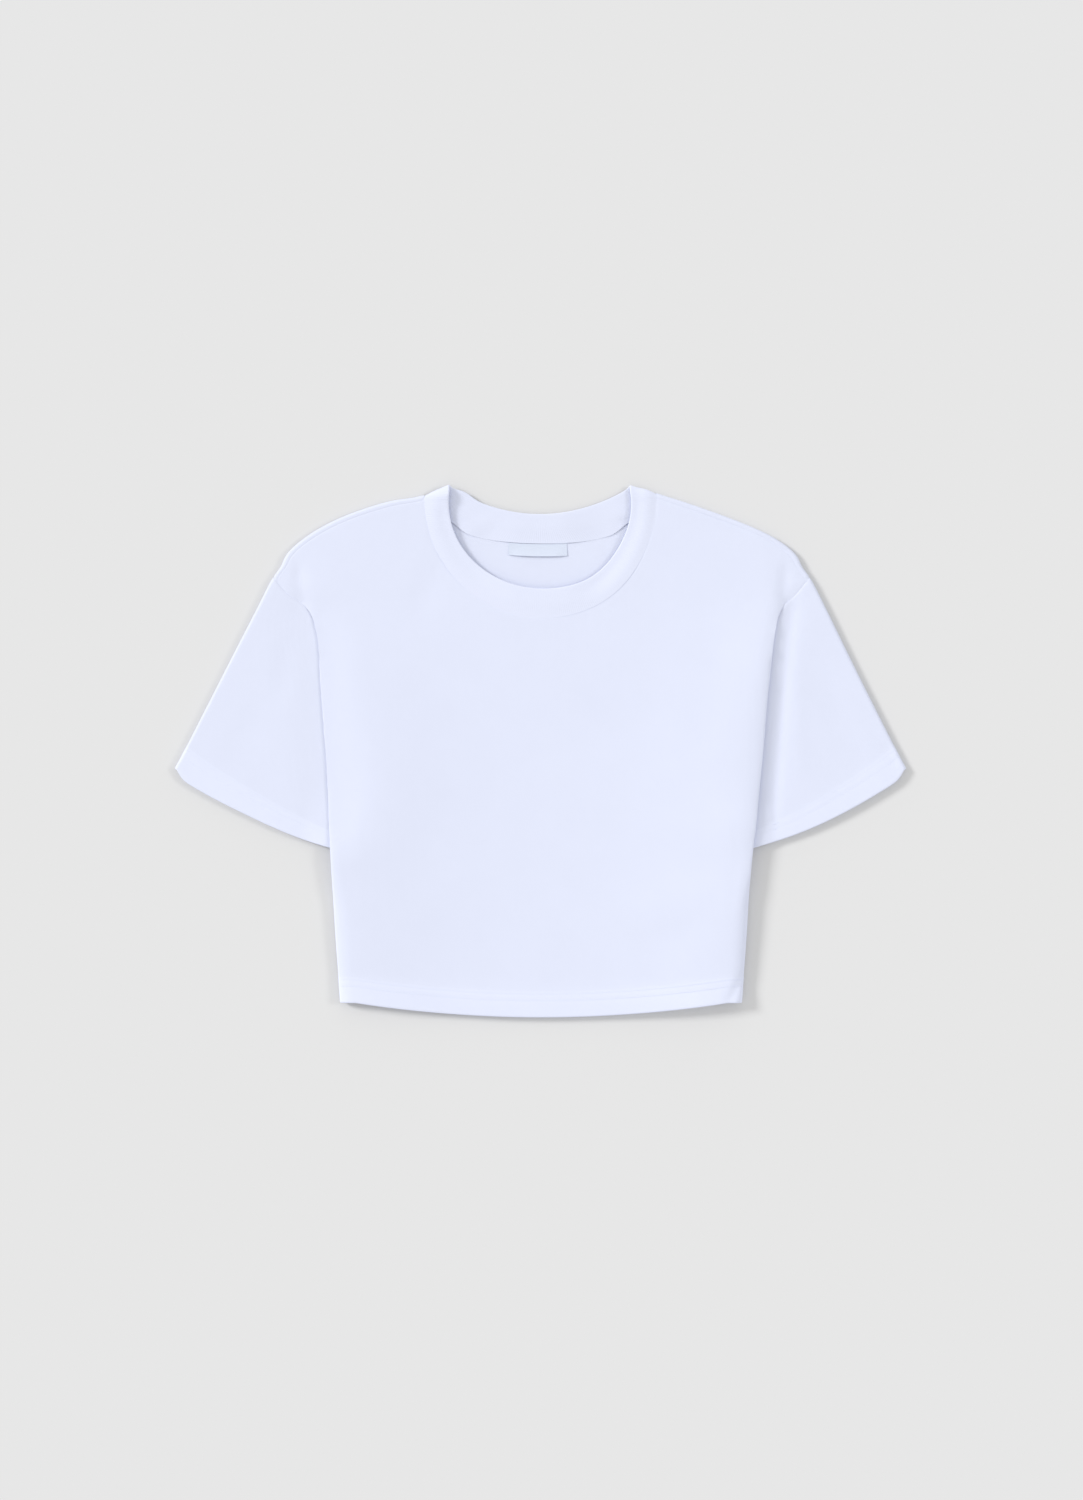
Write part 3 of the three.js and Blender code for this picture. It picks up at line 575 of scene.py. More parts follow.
def relax_heights(grid, first_free_row, rounds):
    """Evens out the heights of the flat cloth.

    Its edges stay, and its rolled side moves only near the shoulder.
    """
    height, width = grid.shape[:2]
    row, column = np.arange(height)[:, None], np.arange(width)[None, :]
    flat = len(FLAT_SHARES)
    free = np.maximum(
        1 - smooth(flat - 12, flat - 2, column), smooth(first_free_row - 24, first_free_row + 2, row) ** 2
    )
    free = free * (row > 2) * (row < height - 3) * (column < width - 3)
    free[first_free_row:, :3] = 0

    def around(values, across=1):
        """The eight neighbours of each point, with the other half of the panel beyond the middle."""
        wide = np.concatenate((across * values[:, 1:2], values, values[:, -1:]), axis=1)
        tall = np.concatenate((wide[:1], wide, wide[-1:]))
        return np.array(
            [tall[i : i + height, j : j + width] for i in range(3) for j in range(3) if (i, j) != (1, 1)]
        )

    # Each point goes to the plane that fits its neighbours best.
    away = (around(grid[:, :, 0], -1) - grid[:, :, 0], around(grid[:, :, 1]) - grid[:, :, 1])
    near = 1 / (away[0] ** 2 + away[1] ** 2 + 0.05)
    basis = np.array((np.ones_like(near), *away))
    fit = np.linalg.inv(np.einsum("akrc,bkrc,krc->rcab", basis, basis, near) + 1e-6 * np.eye(3))
    share = np.einsum("rcb,bkrc,krc->krc", fit[:, :, 0], basis, near)
    z = grid[:, :, 2]
    for _ in range(rounds):
        z += 0.8 * free * ((share * around(z)).sum(0) - z)


def seam_dips(shape, row_edges=(), column_edges=()):
    """How far each point of a grid sinks, so that the cloth rounds down into its seams.

    Each edge is given with its depth, and a column also with the row that its seam starts from.
    """
    dip = np.zeros(shape)
    for k, part in ((0, 1.0), (1, 0.33)):
        for edge, depth in row_edges:
            dip[k if edge == 0 else -1 - k, :] = depth * part
        for start_row, edge, depth in column_edges:
            column = k if edge == 0 else -1 - k
            dip[start_row:, column] = np.maximum(dip[start_row:, column], depth * part)
    return dip


def mirrored(grid):
    return (grid * (-1, 1, 1))[:, ::-1]


def turned_over(grid):
    return grid[:, ::-1]


def join(grids):
    """Welds grids of points into one surface: its points, its quads and each grid's point numbers."""
    ids, points, quads, numbers = {}, [], [], []
    for grid in grids:
        number = np.empty(grid.shape[:2], int)
        for i, row in enumerate(np.round(grid * 400).astype(int).tolist()):
            for j, key in enumerate(row):
                k = ids.setdefault(tuple(key), len(points))
                if k == len(points):
                    points.append(grid[i, j])
                number[i, j] = k
        numbers.append(number)
        around = np.stack((number[:-1, :-1], number[:-1, 1:], number[1:, 1:], number[1:, :-1]), -1)
        quads += [list(dict.fromkeys(q)) for q in around.reshape(-1, 4).tolist()]
    return np.array(points), [q for q in quads if len(q) > 2], numbers


def normals_of(points, quads):
    normals = np.zeros_like(points)
    for size in (3, 4):
        q = np.array([f for f in quads if len(f) == size], int).reshape(-1, size)
        if len(q):
            n = np.cross(points[q[:, 2]] - points[q[:, 0]], points[q[:, -1]] - points[q[:, 1]])
            for k in range(size):
                np.add.at(normals, q[:, k], n)
    return normals / np.maximum(np.linalg.norm(normals, axis=1), 1e-9)[:, None]


def turn_up(grid, normals, thickness):
    """The hem of a grid whose first row is its folded edge: the layer inside it and the fold itself."""
    gap = thickness + SEAM_GAP
    rows = [grid[k] - normals[k] * gap for k in reversed(HEM_ROWS)]
    down = grid[0] - grid[1]
    down /= np.linalg.norm(down, axis=1)[:, None]
    for turn in np.linspace(math.pi, 0, 7)[1:-1]:
        rows.append(grid[0] - normals[0] * gap / 2 * (1 - math.cos(turn)) + down * gap / 2 * math.sin(turn))
    return np.array([*rows, grid[0]])


def hem_relief(distance):
    """How far a hem stands out: proud over the turn-up, and drawn in along its two rows of stitches."""
    lower, upper = STITCH_LEVELS
    proud = 0.25 * (1 - smooth(19.8, 23.5, distance))
    return proud - 0.13 * bell(distance - upper, 1.0) - 0.09 * bell(distance - lower, 0.9)


def cloth_mesh(name, points, faces, uv):
    """A mesh from points in millimetres. uv gives each point's place on the cloth, in millimetres too."""
    mesh = bpy.data.meshes.new(name)
    mesh.from_pydata((points * MM).tolist(), [], faces)
    layer = mesh.uv_layers.new(name="cloth")
    loops = np.empty(len(mesh.loops), int)
    mesh.loops.foreach_get("vertex_index", loops)
    layer.data.foreach_set("uv", uv[loops].astype(np.float32).ravel())
    return mesh


def cloth_wall(name, points, quads, thickness, uv, doubled=None):
    """A closed wall of cloth on a middle surface. doubled is 1 where another layer backs it."""
    normals = normals_of(points, quads)
    n = len(points)
    both = np.vstack((points + normals * thickness / 2, points - normals * thickness / 2))
    both[:, 2] = np.maximum(both[:, 2], UNDERSIDE_Z)
    faces = [tuple(q) for q in quads] + [tuple(n + k for k in reversed(q)) for q in quads]
    edges = {(q[k - 1], q[k]) for q in quads for k in range(len(q))}
    faces += [(b, a, n + a, n + b) for a, b in sorted(edges) if (b, a) not in edges]
    mesh = cloth_mesh(name, both, faces, np.vstack((uv, uv)))
    backed = mesh.attributes.new("doubled", "FLOAT", "POINT")
    if doubled is not None:
        backed.data.foreach_set("value", np.concatenate((doubled, doubled)).astype(np.float32))
    return finished(name, mesh)


def finished(name, mesh, sharp=math.radians(50)):
    mesh.validate()
    mesh.shade_smooth()
    mesh.set_sharp_from_angle(angle=sharp)
    piece = bpy.data.objects.new(name, mesh)
    bpy.context.collection.objects.link(piece)
    return piece


def node(tree, kind, label, **values):
    made = tree.nodes.new(kind)
    made.label = label
    for key, value in values.items():
        setattr(made, key, value)
    return made


def maths(tree, operation, a, b=None, label=""):
    made = node(tree, "ShaderNodeMath", label or operation.lower(), operation=operation)
    for socket, value in zip(made.inputs, (a, b)):
        if value is None:
            continue
        if isinstance(value, (int, float)):
            socket.default_value = value
        else:
            tree.links.new(value, socket)
    return made.outputs[0]


def shader(name, colour, roughness, sheen):
    material = bpy.data.materials.new(name)
    material.use_nodes = True
    tree = material.node_tree
    surface = tree.nodes["Principled BSDF"]
    surface.inputs["Base Color"].default_value = (*colour, 1)
    surface.inputs["Roughness"].default_value = roughness
    surface.inputs["Specular IOR Level"].default_value = 0.25
    surface.inputs["Sheen Weight"].default_value = sheen
    surface.inputs["Sheen Roughness"].default_value = 0.6
    return material, tree, surface


def mottled(tree, surface, colour, amount, scale):
    """Slight, soft variation of the colour."""
    place = node(tree, "ShaderNodeTexCoord", "place")
    cloud = node(tree, "ShaderNodeTexNoise", "mottle")
    cloud.inputs["Scale"].default_value = scale
    cloud.inputs["Detail"].default_value = 4
    tree.links.new(place.outputs["Object"], cloud.inputs["Vector"])
    blend = node(tree, "ShaderNodeMix", "mottled colour", data_type="RGBA")
    blend.inputs["A"].default_value = tuple(c * (1 - amount) for c in colour) + (1,)
    blend.inputs["B"].default_value = tuple(min(c * (1 + amount), 1) for c in colour) + (1,)
    tree.links.new(cloud.outputs["Fac"], blend.inputs["Factor"])
    tree.links.new(blend.outputs["Result"], surface.inputs["Base Color"])


def whiter_where_doubled(tree, surface):
    """One layer of jersey is slightly see-through, and a turned-up hem looks a little whiter."""
    plain = surface.inputs["Base Color"].links[0].from_socket
    layers = node(tree, "ShaderNodeAttribute", "doubled cloth", attribute_name="doubled")
    amount = maths(tree, "MULTIPLY", layers.outputs["Fac"], 0.03)
    lift = maths(tree, "ADD", amount, 1.0)
    scaled = node(tree, "ShaderNodeVectorMath", "whiter", operation="SCALE")
    tree.links.new(plain, scaled.inputs[0])
    tree.links.new(lift, scaled.inputs["Scale"])
    tree.links.new(scaled.outputs["Vector"], surface.inputs["Base Color"])


def relief(tree, surface, height, distance, strength):
    bump = node(tree, "ShaderNodeBump", "relief")
    bump.inputs["Distance"].default_value = distance
    bump.inputs["Strength"].default_value = strength
    tree.links.new(height, bump.inputs["Height"])
    tree.links.new(bump.outputs["Normal"], surface.inputs["Normal"])


def cloth_axes(tree):
    uv = node(tree, "ShaderNodeUVMap", "place on the cloth", uv_map="cloth")
    split = node(tree, "ShaderNodeSeparateXYZ", "across and along")
    tree.links.new(uv.outputs["UV"], split.inputs["Vector"])
    return uv, split.outputs["X"], split.outputs["Y"]


def fuzz(tree, uv, scale):
    noise = node(tree, "ShaderNodeTexNoise", "fuzz")
    noise.inputs["Scale"].default_value = scale
    noise.inputs["Detail"].default_value = 3
    tree.links.new(uv.outputs["UV"], noise.inputs["Vector"])
    return noise.outputs["Fac"]


def knit_material(name, colour, wale=0.95, course=0.75):
    """Single jersey: columns of small V stitches."""
    material, tree, surface = shader(name, colour, 0.92, 0.12)
    mottled(tree, surface, colour, 0.012, 30)
    whiter_where_doubled(tree, surface)
    uv, across, along = cloth_axes(tree)
    column = maths(tree, "FRACT", maths(tree, "DIVIDE", across, wale), label="place in the wale")
    off_centre = maths(tree, "ABSOLUTE", maths(tree, "SUBTRACT", column, 0.5))
    leg = maths(tree, "SUBTRACT", 1.0, maths(tree, "MULTIPLY", off_centre, 2.0), "wale's crown")
    row = maths(tree, "ADD", maths(tree, "DIVIDE", along, course), maths(tree, "MULTIPLY", off_centre, 1.1))
    loop = maths(tree, "SINE", maths(tree, "MULTIPLY", row, math.tau), label="loops")
    height = maths(tree, "ADD", leg, maths(tree, "MULTIPLY", loop, 0.32))
    height = maths(tree, "ADD", height, maths(tree, "MULTIPLY", fuzz(tree, uv, 2.2), 0.7))
    relief(tree, surface, height, 0.00012, 0.55)
    return material


def rib_material(name, colour, course=0.75):
    """Rib knit: the ribs are in the mesh, and the rows of loops and the fuzz are added here."""
    material, tree, surface = shader(name, colour, 0.92, 0.12)
    mottled(tree, surface, colour, 0.01, 40)
    uv, _, along = cloth_axes(tree)
    loop = maths(tree, "SINE", maths(tree, "MULTIPLY", along, math.tau / course), label="loops")
    height = maths(tree, "ADD", maths(tree, "MULTIPLY", loop, 0.3), fuzz(tree, uv, 2.4))
    relief(tree, surface, height, 0.0001, 0.5)
    return material


def thread_material(name, colour):
    """Spun thread."""
    material, tree, surface = shader(name, colour, 0.7, 0.1)
    mottled(tree, surface, colour, 0.02, 900)
    return material


def woven_material(name, colour, thread=0.22):
    """Satin-faced tape: fine warp lines with a slight gloss."""
    material, tree, surface = shader(name, colour, 0.5, 0.05)
    mottled(tree, surface, colour, 0.015, 60)
    _, across, along = cloth_axes(tree)
    warp = maths(tree, "SINE", maths(tree, "MULTIPLY", along, math.tau / thread), label="warp")
    weft = maths(tree, "SINE", maths(tree, "MULTIPLY", across, math.tau / (2.5 * thread)), label="weft")
    relief(tree, surface, maths(tree, "ADD", warp, maths(tree, "MULTIPLY", weft, 0.5)), 0.00003, 0.5)
    return material


def material_named(name, build, *values):
    return bpy.data.materials.get(name) or build(name, *values)


def stitch_tree():
    """Geometry nodes that lay stitches end to end along the edges of a mesh."""
    tree = bpy.data.node_groups.get("stitches along a seam")
    if tree:
        return tree
    tree = bpy.data.node_groups.new("stitches along a seam", "GeometryNodeTree")
    face = tree.interface
    face.new_socket("Seam lines", in_out="INPUT", socket_type="NodeSocketGeometry")
    for title in ("Pitch", "Stitch length", "Thread radius"):
        face.new_socket(title, in_out="INPUT", socket_type="NodeSocketFloat")
    face.new_socket("Thread", in_out="INPUT", socket_type="NodeSocketMaterial")
    face.new_socket("Stitches", in_out="OUTPUT", socket_type="NodeSocketGeometry")
    given = node(tree, "NodeGroupInput", "sizes")
    result = node(tree, "NodeGroupOutput", "stitches")
    curve = node(tree, "GeometryNodeMeshToCurve", "seam as a curve")
    spaced = node(tree, "GeometryNodeResampleCurve", "one point a stitch", mode="LENGTH")
    tangent = node(tree, "GeometryNodeInputTangent", "seam's direction")
    aligned = node(tree, "FunctionNodeAlignRotationToVector", "along the seam", axis="X")
    bead = node(tree, "GeometryNodeMeshUVSphere", "stitch")
    bead.inputs["Segments"].default_value = 6
    bead.inputs["Rings"].default_value = 5
    bead.inputs["Radius"].default_value = 1.0
    size = node(tree, "ShaderNodeCombineXYZ", "size of a stitch")
    half = node(tree, "ShaderNodeMath", "half its length", operation="MULTIPLY")
    half.inputs[1].default_value = 0.5
    laid = node(tree, "GeometryNodeInstanceOnPoints", "stitches")
    real = node(tree, "GeometryNodeRealizeInstances", "plain mesh")
    threaded = node(tree, "GeometryNodeSetMaterial", "thread")
    for start, out, end, into in (
        (given, "Seam lines", curve, "Mesh"),
        (curve, "Curve", spaced, "Curve"),
        (given, "Pitch", spaced, "Length"),
        (tangent, "Tangent", aligned, "Vector"),
        (spaced, "Curve", laid, "Points"),
        (bead, "Mesh", laid, "Instance"),
        (aligned, "Rotation", laid, "Rotation"),
        (given, "Stitch length", half, 0),
        (half, 0, size, "X"),
        (given, "Thread radius", size, "Y"),
        (given, "Thread radius", size, "Z"),
        (size, "Vector", laid, "Scale"),
        (laid, "Instances", real, "Geometry"),
        (real, "Geometry", threaded, "Geometry"),
        (given, "Thread", threaded, "Material"),
        (threaded, "Geometry", result, "Stitches"),
    ):
        tree.links.new(start.outputs[out], end.inputs[into])
    return tree


def stitches(name, lines, material, sizes):
    """Rows of stitches along lines of points, as one plain mesh."""
    points, edges = [], []
    for line in lines:
        first = len(points)
        points += (np.asarray(line) * MM).tolist()
        edges += [(k, k + 1) for k in range(first, len(points) - 1)]
    mesh = bpy.data.meshes.new(name + "_seam")
    mesh.from_pydata(points, edges, [])
    guide = bpy.data.objects.new(name + "_seam", mesh)
    bpy.context.collection.objects.link(guide)
    tree = stitch_tree()
    modifier = guide.modifiers.new("stitches", "NODES")
    modifier.node_group = tree
    given = {
        "Pitch": sizes.stitch_pitch,
        "Stitch length": sizes.stitch_length,
        "Thread radius": sizes.thread,
        "Thread": material,
    }
    for item in tree.interface.items_tree:
        if item.in_out == "INPUT" and item.name in given:
            modifier[item.identifier] = given[item.name]
    evaluated = guide.evaluated_get(bpy.context.evaluated_depsgraph_get())
    plain = bpy.data.meshes.new_from_object(evaluated)
    plain.materials.clear()
    plain.materials.append(material)
    plain.polygons.foreach_set("material_index", np.zeros(len(plain.polygons), np.int32))
    bpy.data.objects.remove(guide)
    plain.name = name
    piece = finished(name, plain)
    if not len(plain.polygons):
        raise RuntimeError(f"{name} has no stitches")
    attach(piece, "root")
    return piece


def dress(piece, material, solid):
    piece.data.materials.append(material)
    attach(piece, "root")
    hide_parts(solid)


def sewn_piece(name, grids, hem_grids, creases, thickness, dips, lift=0.0):
    """Joins a piece's grids into one wall with its hem turned up, and gives it with its stitch lines."""
    shaped = []
    for grid in grids:
        g = grid.copy()
        x, y = g[:, :, 0], g[:, :, 1]
        g[:, :, 2] += creased(x, y, creases) + lift * rumpled(x, y)
        shaped.append(g)
    points, quads, numbers = join(shaped)
    normals = normals_of(points, quads)
    moved = np.zeros(len(points))
    for number, dip in zip(numbers, dips):
        moved[number] = np.maximum(moved[number], dip)
    raised = np.zeros(len(points))
    for k in hem_grids:
        number = numbers[k]
        for row, distance in enumerate(HEM_LEVELS):
            raised[number[row]] = hem_relief(distance)
    points = points + normals * (raised - moved)[:, None]
    normals = normals_of(points, quads)

    final = [points[number] for number in numbers]
    lines = []
    for k in hem_grids:
        flat_normals = normals[numbers[k]]
        final.append(turn_up(final[k], flat_normals, thickness))
        for level in STITCH_LEVELS:
            row = HEM_LEVELS.index(level)
            line = as_laid(final[k][row] + flat_normals[row] * (thickness / 2 + STITCH_PROUD))
            line[:, 2] = np.maximum(line[:, 2], UNDERSIDE_Z)
            lines.append(line)
    points, quads, numbers = join(final)
    doubled = np.zeros(len(points))
    for k in (*hem_grids, *range(len(grids), len(final))):
        doubled[numbers[k][: len(HEM_ROWS)] if k < len(grids) else numbers[k]] = 1
    return cloth_wall(name, as_laid(points), quads, thickness, points[:, :2].copy(), doubled), lines


def sew(context, name, solid, grids, hem_grids, dips, creases=(), lift=0.0):
    """Makes a piece of jersey with its hem and its stitches, on the form of a solid.
    """
    sizes, colours = context.scene.crop_top_sizes, context.scene.crop_top_colours
    jersey = material_named("cotton jersey", knit_material, tuple(colours.jersey))
    thread = material_named("sewing thread", thread_material, tuple(colours.thread))
    piece, lines = sewn_piece(name, grids, hem_grids, creases, sizes.jersey / MM, dips, lift)
    dress(piece, jersey, solid)
    rows = stitches(name + "_hem_stitches", lines, thread, sizes)


class CROPTOP_OT_back(bpy.types.Operator):
    """Make the back, with its shoulder edges brought forward over the top"""

    bl_idname = "croptop.back"
    bl_label = "Back"

    def execute(self, context):
        lower = body_rows(NECK_SIDE_Y - BACK_NECK_DROP - 0.1, -1)
        foot = shoulder_row(-math.pi / 2)
        upper = patch_between(
            lower[-1], foot, neck_edge(BACK_NECK_DROP, BACK_Z, BACK_Z, foot[0]), upper_armhole(-1, foot[-1])
        )
        upper[:, :, 2] = np.maximum(upper[:, :, 2], BACK_Z)
        turns = np.linspace(-math.pi / 2, math.pi / 2, 15)
        roll = [shoulder_row(turn) for turn in turns]
        roll += [shoulder_row(math.pi / 2, SHOULDER_SEAM_FORWARD * s) for s in (0.5, 0.85, 1)]
        roll = np.array(roll)
        halves = (lower, upper, roll)
        armhole, shoulder = (0, -1, ARMHOLE_DIP), (-1, SHOULDER_DIP)
        half_dips = (
            seam_dips(lower.shape[:2], column_edges=((shown_seam_row(), -1, ARMHOLE_DIP),)),
            seam_dips(upper.shape[:2], column_edges=((0, 0, NECK_DIP), armhole)),
            seam_dips(roll.shape[:2], row_edges=(shoulder,), column_edges=((0, 0, ROLL_NECK_DIP), armhole)),
        )
        grids = [turned_over(g) for g in halves] + [turned_over(mirrored(g)) for g in halves]
        dips = [d[:, ::-1] for d in half_dips] + list(half_dips)
        sew(context, "back", "back_panel", grids, (0, 3), dips, CREASES["back"])
        return {"FINISHED"}


class CROPTOP_OT_front(bpy.types.Operator):
    """Make the front"""

    bl_idname = "croptop.front"
    bl_label = "Front"

    def execute(self, context):
        lower = body_rows(NECK_SIDE_Y - FRONT_NECK_DROP - 0.1, 1)
        seam = shoulder_row(math.pi / 2, SHOULDER_SEAM_FORWARD + SEAM_GAP)
        upper = patch_between(
            lower[-1], seam, neck_edge(FRONT_NECK_DROP, FRONT_Z, EDGE_Z), upper_armhole(1, seam[-1])
        )
        whole = np.concatenate((lower, upper[1:]))
        relax_heights(whole, len(lower) - 2, 150)
        lower, upper = whole[: len(lower)], whole[len(lower) - 1 :]
        armhole, shoulder = (0, -1, ARMHOLE_DIP), (-1, SHOULDER_DIP)
        half_dips = (
            seam_dips(lower.shape[:2], column_edges=((shown_seam_row(), -1, ARMHOLE_DIP),)),
            seam_dips(upper.shape[:2], row_edges=(shoulder,), column_edges=((0, 0, NECK_DIP), armhole)),
        )
        grids = [lower, upper, mirrored(lower), mirrored(upper)]
        dips = list(half_dips) + [d[:, ::-1] for d in half_dips]
        creases = CREASES["front"]
        sew(context, "front", "front_panel", grids, (0, 2), dips, creases, RUMPLE)
        return {"FINISHED"}


def sleeve_grid():
    """The right sleeve's tube. Rows run from the cuff to the armhole, and each row goes once round it."""
    end = shoulder_point(1, math.pi / 2)
    shoulder_end = np.array(SHOULDER[3])
    top_line = CUFF_CORNER - shoulder_end
    top_line /= np.linalg.norm(top_line)
    cuff_out = np.array((-top_line[1], top_line[0]))
    cuff_end = CUFF_CORNER - cuff_out * (ROLL_RADIUS + LAYER / 2)
    armhole_out = (shoulder_end - end[:2]) / (ROLL_RADIUS + LAYER / 2)

    ys = np.concatenate(((1.5, 4, 8), np.linspace(13, SEAM_END_Y, 46)))
    shares = (ys - ys[0]) / (ys[-1] - ys[0])
    chord = CUFF_CORNER - CUFF_INNER
    bow = np.array((chord[1], -chord[0])) / np.linalg.norm(chord)
    cuff = CUFF_INNER + shares[:, None] * chord + (CUFF_BOW * 4 * shares * (1 - shares))[:, None] * bow
    cuff = mix(cuff, cuff_end, shares[:, None] ** 6)
    clear = UNDERARM_CLEARANCE * (1 - smooth(0, 34, ys))
    armhole = np.column_stack(([side("seam", y) for y in ys] + clear, ys))
    armhole[-1] = end[:2]

    hem_shares = np.array(HEM_LEVELS) / SLEEVE_LENGTH
    rest = np.linspace(hem_shares[-1], 1, 36)[1:-1]
    rows = []
    for along in (*hem_shares, *rest, 0.992, 0.998, 1):
        plan = mix(cuff, armhole, along)
        out = mix(cuff_out, armhole_out, along**4)
        upper = np.array([(x, y, sleeve_front_z(x, y)) for x, y in plan])
        lower = np.array([(x, y, sleeve_back_z(x, y)) for x, y in plan])[::-1]
        radius = (upper[-1, 2] - lower[0, 2]) / 2
        turns = np.linspace(math.pi / 2, -math.pi / 2, 15)[1:-1, None]
        top_fold = np.hstack(
            (upper[-1, :2] + out * radius * np.cos(turns), lower[0, 2] + radius * (1 + np.sin(turns)))
        )
        radius = (upper[0, 2] - lower[-1, 2]) / 2
        turns = np.linspace(-math.pi / 2, math.pi / 2, 9)[1:-1, None]
        under_fold = np.hstack(
            (
                lower[-1, 0] - radius * np.cos(turns),
                np.full_like(turns, lower[-1, 1]),
                lower[-1, 2] + radius * (1 + np.sin(turns)),
            )
        )
        rows.append(np.vstack((upper, top_fold, lower, under_fold, upper[:1])))
    return np.array(rows)


class CROPTOP_OT_sleeves(bpy.types.Operator):
    """Make the two sleeves"""

    bl_idname = "croptop.sleeves"
    bl_label = "Sleeves"

    def execute(self, context):
        tube = sleeve_grid()
        for hand, grid in (("right", tube), ("left", mirrored(tube))):
            solid = "sleeve_" + hand
            high = smooth(1.5, 4.5, grid[:, :, 2])
            grid = grid.copy()
            x, y = grid[:, :, 0], grid[:, :, 1]
            shown = high * smooth(4, 14, np.abs(x) - np.vectorize(lambda v: side("fold", v))(y))
            grid[:, :, 2] += shown * (creased(x, y, CREASES[solid]) + RUMPLE * rumpled(x + 40, y))
            dips = [seam_dips(grid.shape[:2], row_edges=((-1, ARMHOLE_DIP),))]
            sew(context, hand + "_sleeve", solid, [grid], (0,), dips)
        return {"FINISHED"}


def curve_point(points, t):
    """A point of a curve with four handles."""
    p = np.array(points)
    return (1 - t) ** 3 * p[0] + 3 * t * (1 - t) ** 2 * p[1] + 3 * t * t * (1 - t) * p[2] + t**3 * p[3]


def neckband_edges():
    """The neckband's seam edge and free edge, once round from the middle of the front."""
    low = 1.3  # height of the back seam where the front lies over it
    seam, free = [], []
    for share in np.linspace(0, 1, NECK_ROWS, endpoint=False):
        angle = share * math.pi / 2
        seam.append(neck_point(NECK_HALF, NECK_SIDE_Y, FRONT_NECK_DROP, angle, mix(FRONT_Z, EDGE_Z, share)))
        stand = mix(FRONT_Z + 0.3, STAND_SIDE_Z, share**3)
        free.append(neck_point(OPENING_HALF, OPENING_SIDE_Y, FRONT_OPENING_DROP, angle, stand))

    side_y, opening_y = NECK_SIDE_Y, OPENING_SIDE_Y
    seam_turn = [(NECK_HALF, side_y + up, z) for up, z in ((0, EDGE_Z), (4.4, EDGE_Z), (4.4, low), (0, low))]
    free_turn = [
        (OPENING_HALF, opening_y, STAND_SIDE_Z),
        (OPENING_HALF, opening_y + 17, STAND_SIDE_Z + 2.6),
        (OPENING_HALF + 3, BACK_OPENING_SIDE[1] + 5, BACK_OPENING_SIDE[2]),
        BACK_OPENING_SIDE,
    ]
    for t in np.linspace(0, 1, 40, endpoint=False):
        seam.append(curve_point(seam_turn, t))
        free.append(curve_point(free_turn, t))
    for across in np.linspace(1, 0, NECK_ROWS):
        # The back seam rises over the label and where it comes out from under the front.
        seam_z = mix(0.8, 2.0, float(smooth(0.31, 0.46, across)))
        seam_z = mix(seam_z, low, float(smooth(0.6, 0.8, across)))
        seam_z = mix(seam_z, 1.6, 1 - float(smooth(0.12, 0.34, across)))
        seam.append(neck_point(NECK_HALF, side_y, BACK_NECK_DROP, across * math.pi / 2, seam_z))
        free.append(
            np.array(
                (
                    BACK_OPENING_SIDE[0] * across,
                    mix(BACK_OPENING_Y, BACK_OPENING_SIDE[1], across**2),
                    mix(STAND_BACK_Z, BACK_OPENING_SIDE[2], across**2.5),
                )
            )
        )
    seam, free = np.array(seam), np.array(free)
    flip = (-1, 1, 1)
    return [np.vstack((edge, (edge * flip)[-2:0:-1], edge[:1])) for edge in (seam, free)]


def evened(edge, at, length):
    """An edge of the neckband with its points at the given distances, and its corners eased."""
    edge = np.column_stack([np.interp(at, length, edge[:, k]) for k in range(3)])
    for _ in range(8):
        edge = (np.roll(edge, 1, 0) + 2 * edge + np.roll(edge, -1, 0)) / 4
    return edge


def unit(v):
    return v / np.maximum(np.linalg.norm(v, axis=-1, keepdims=True), 1e-9)


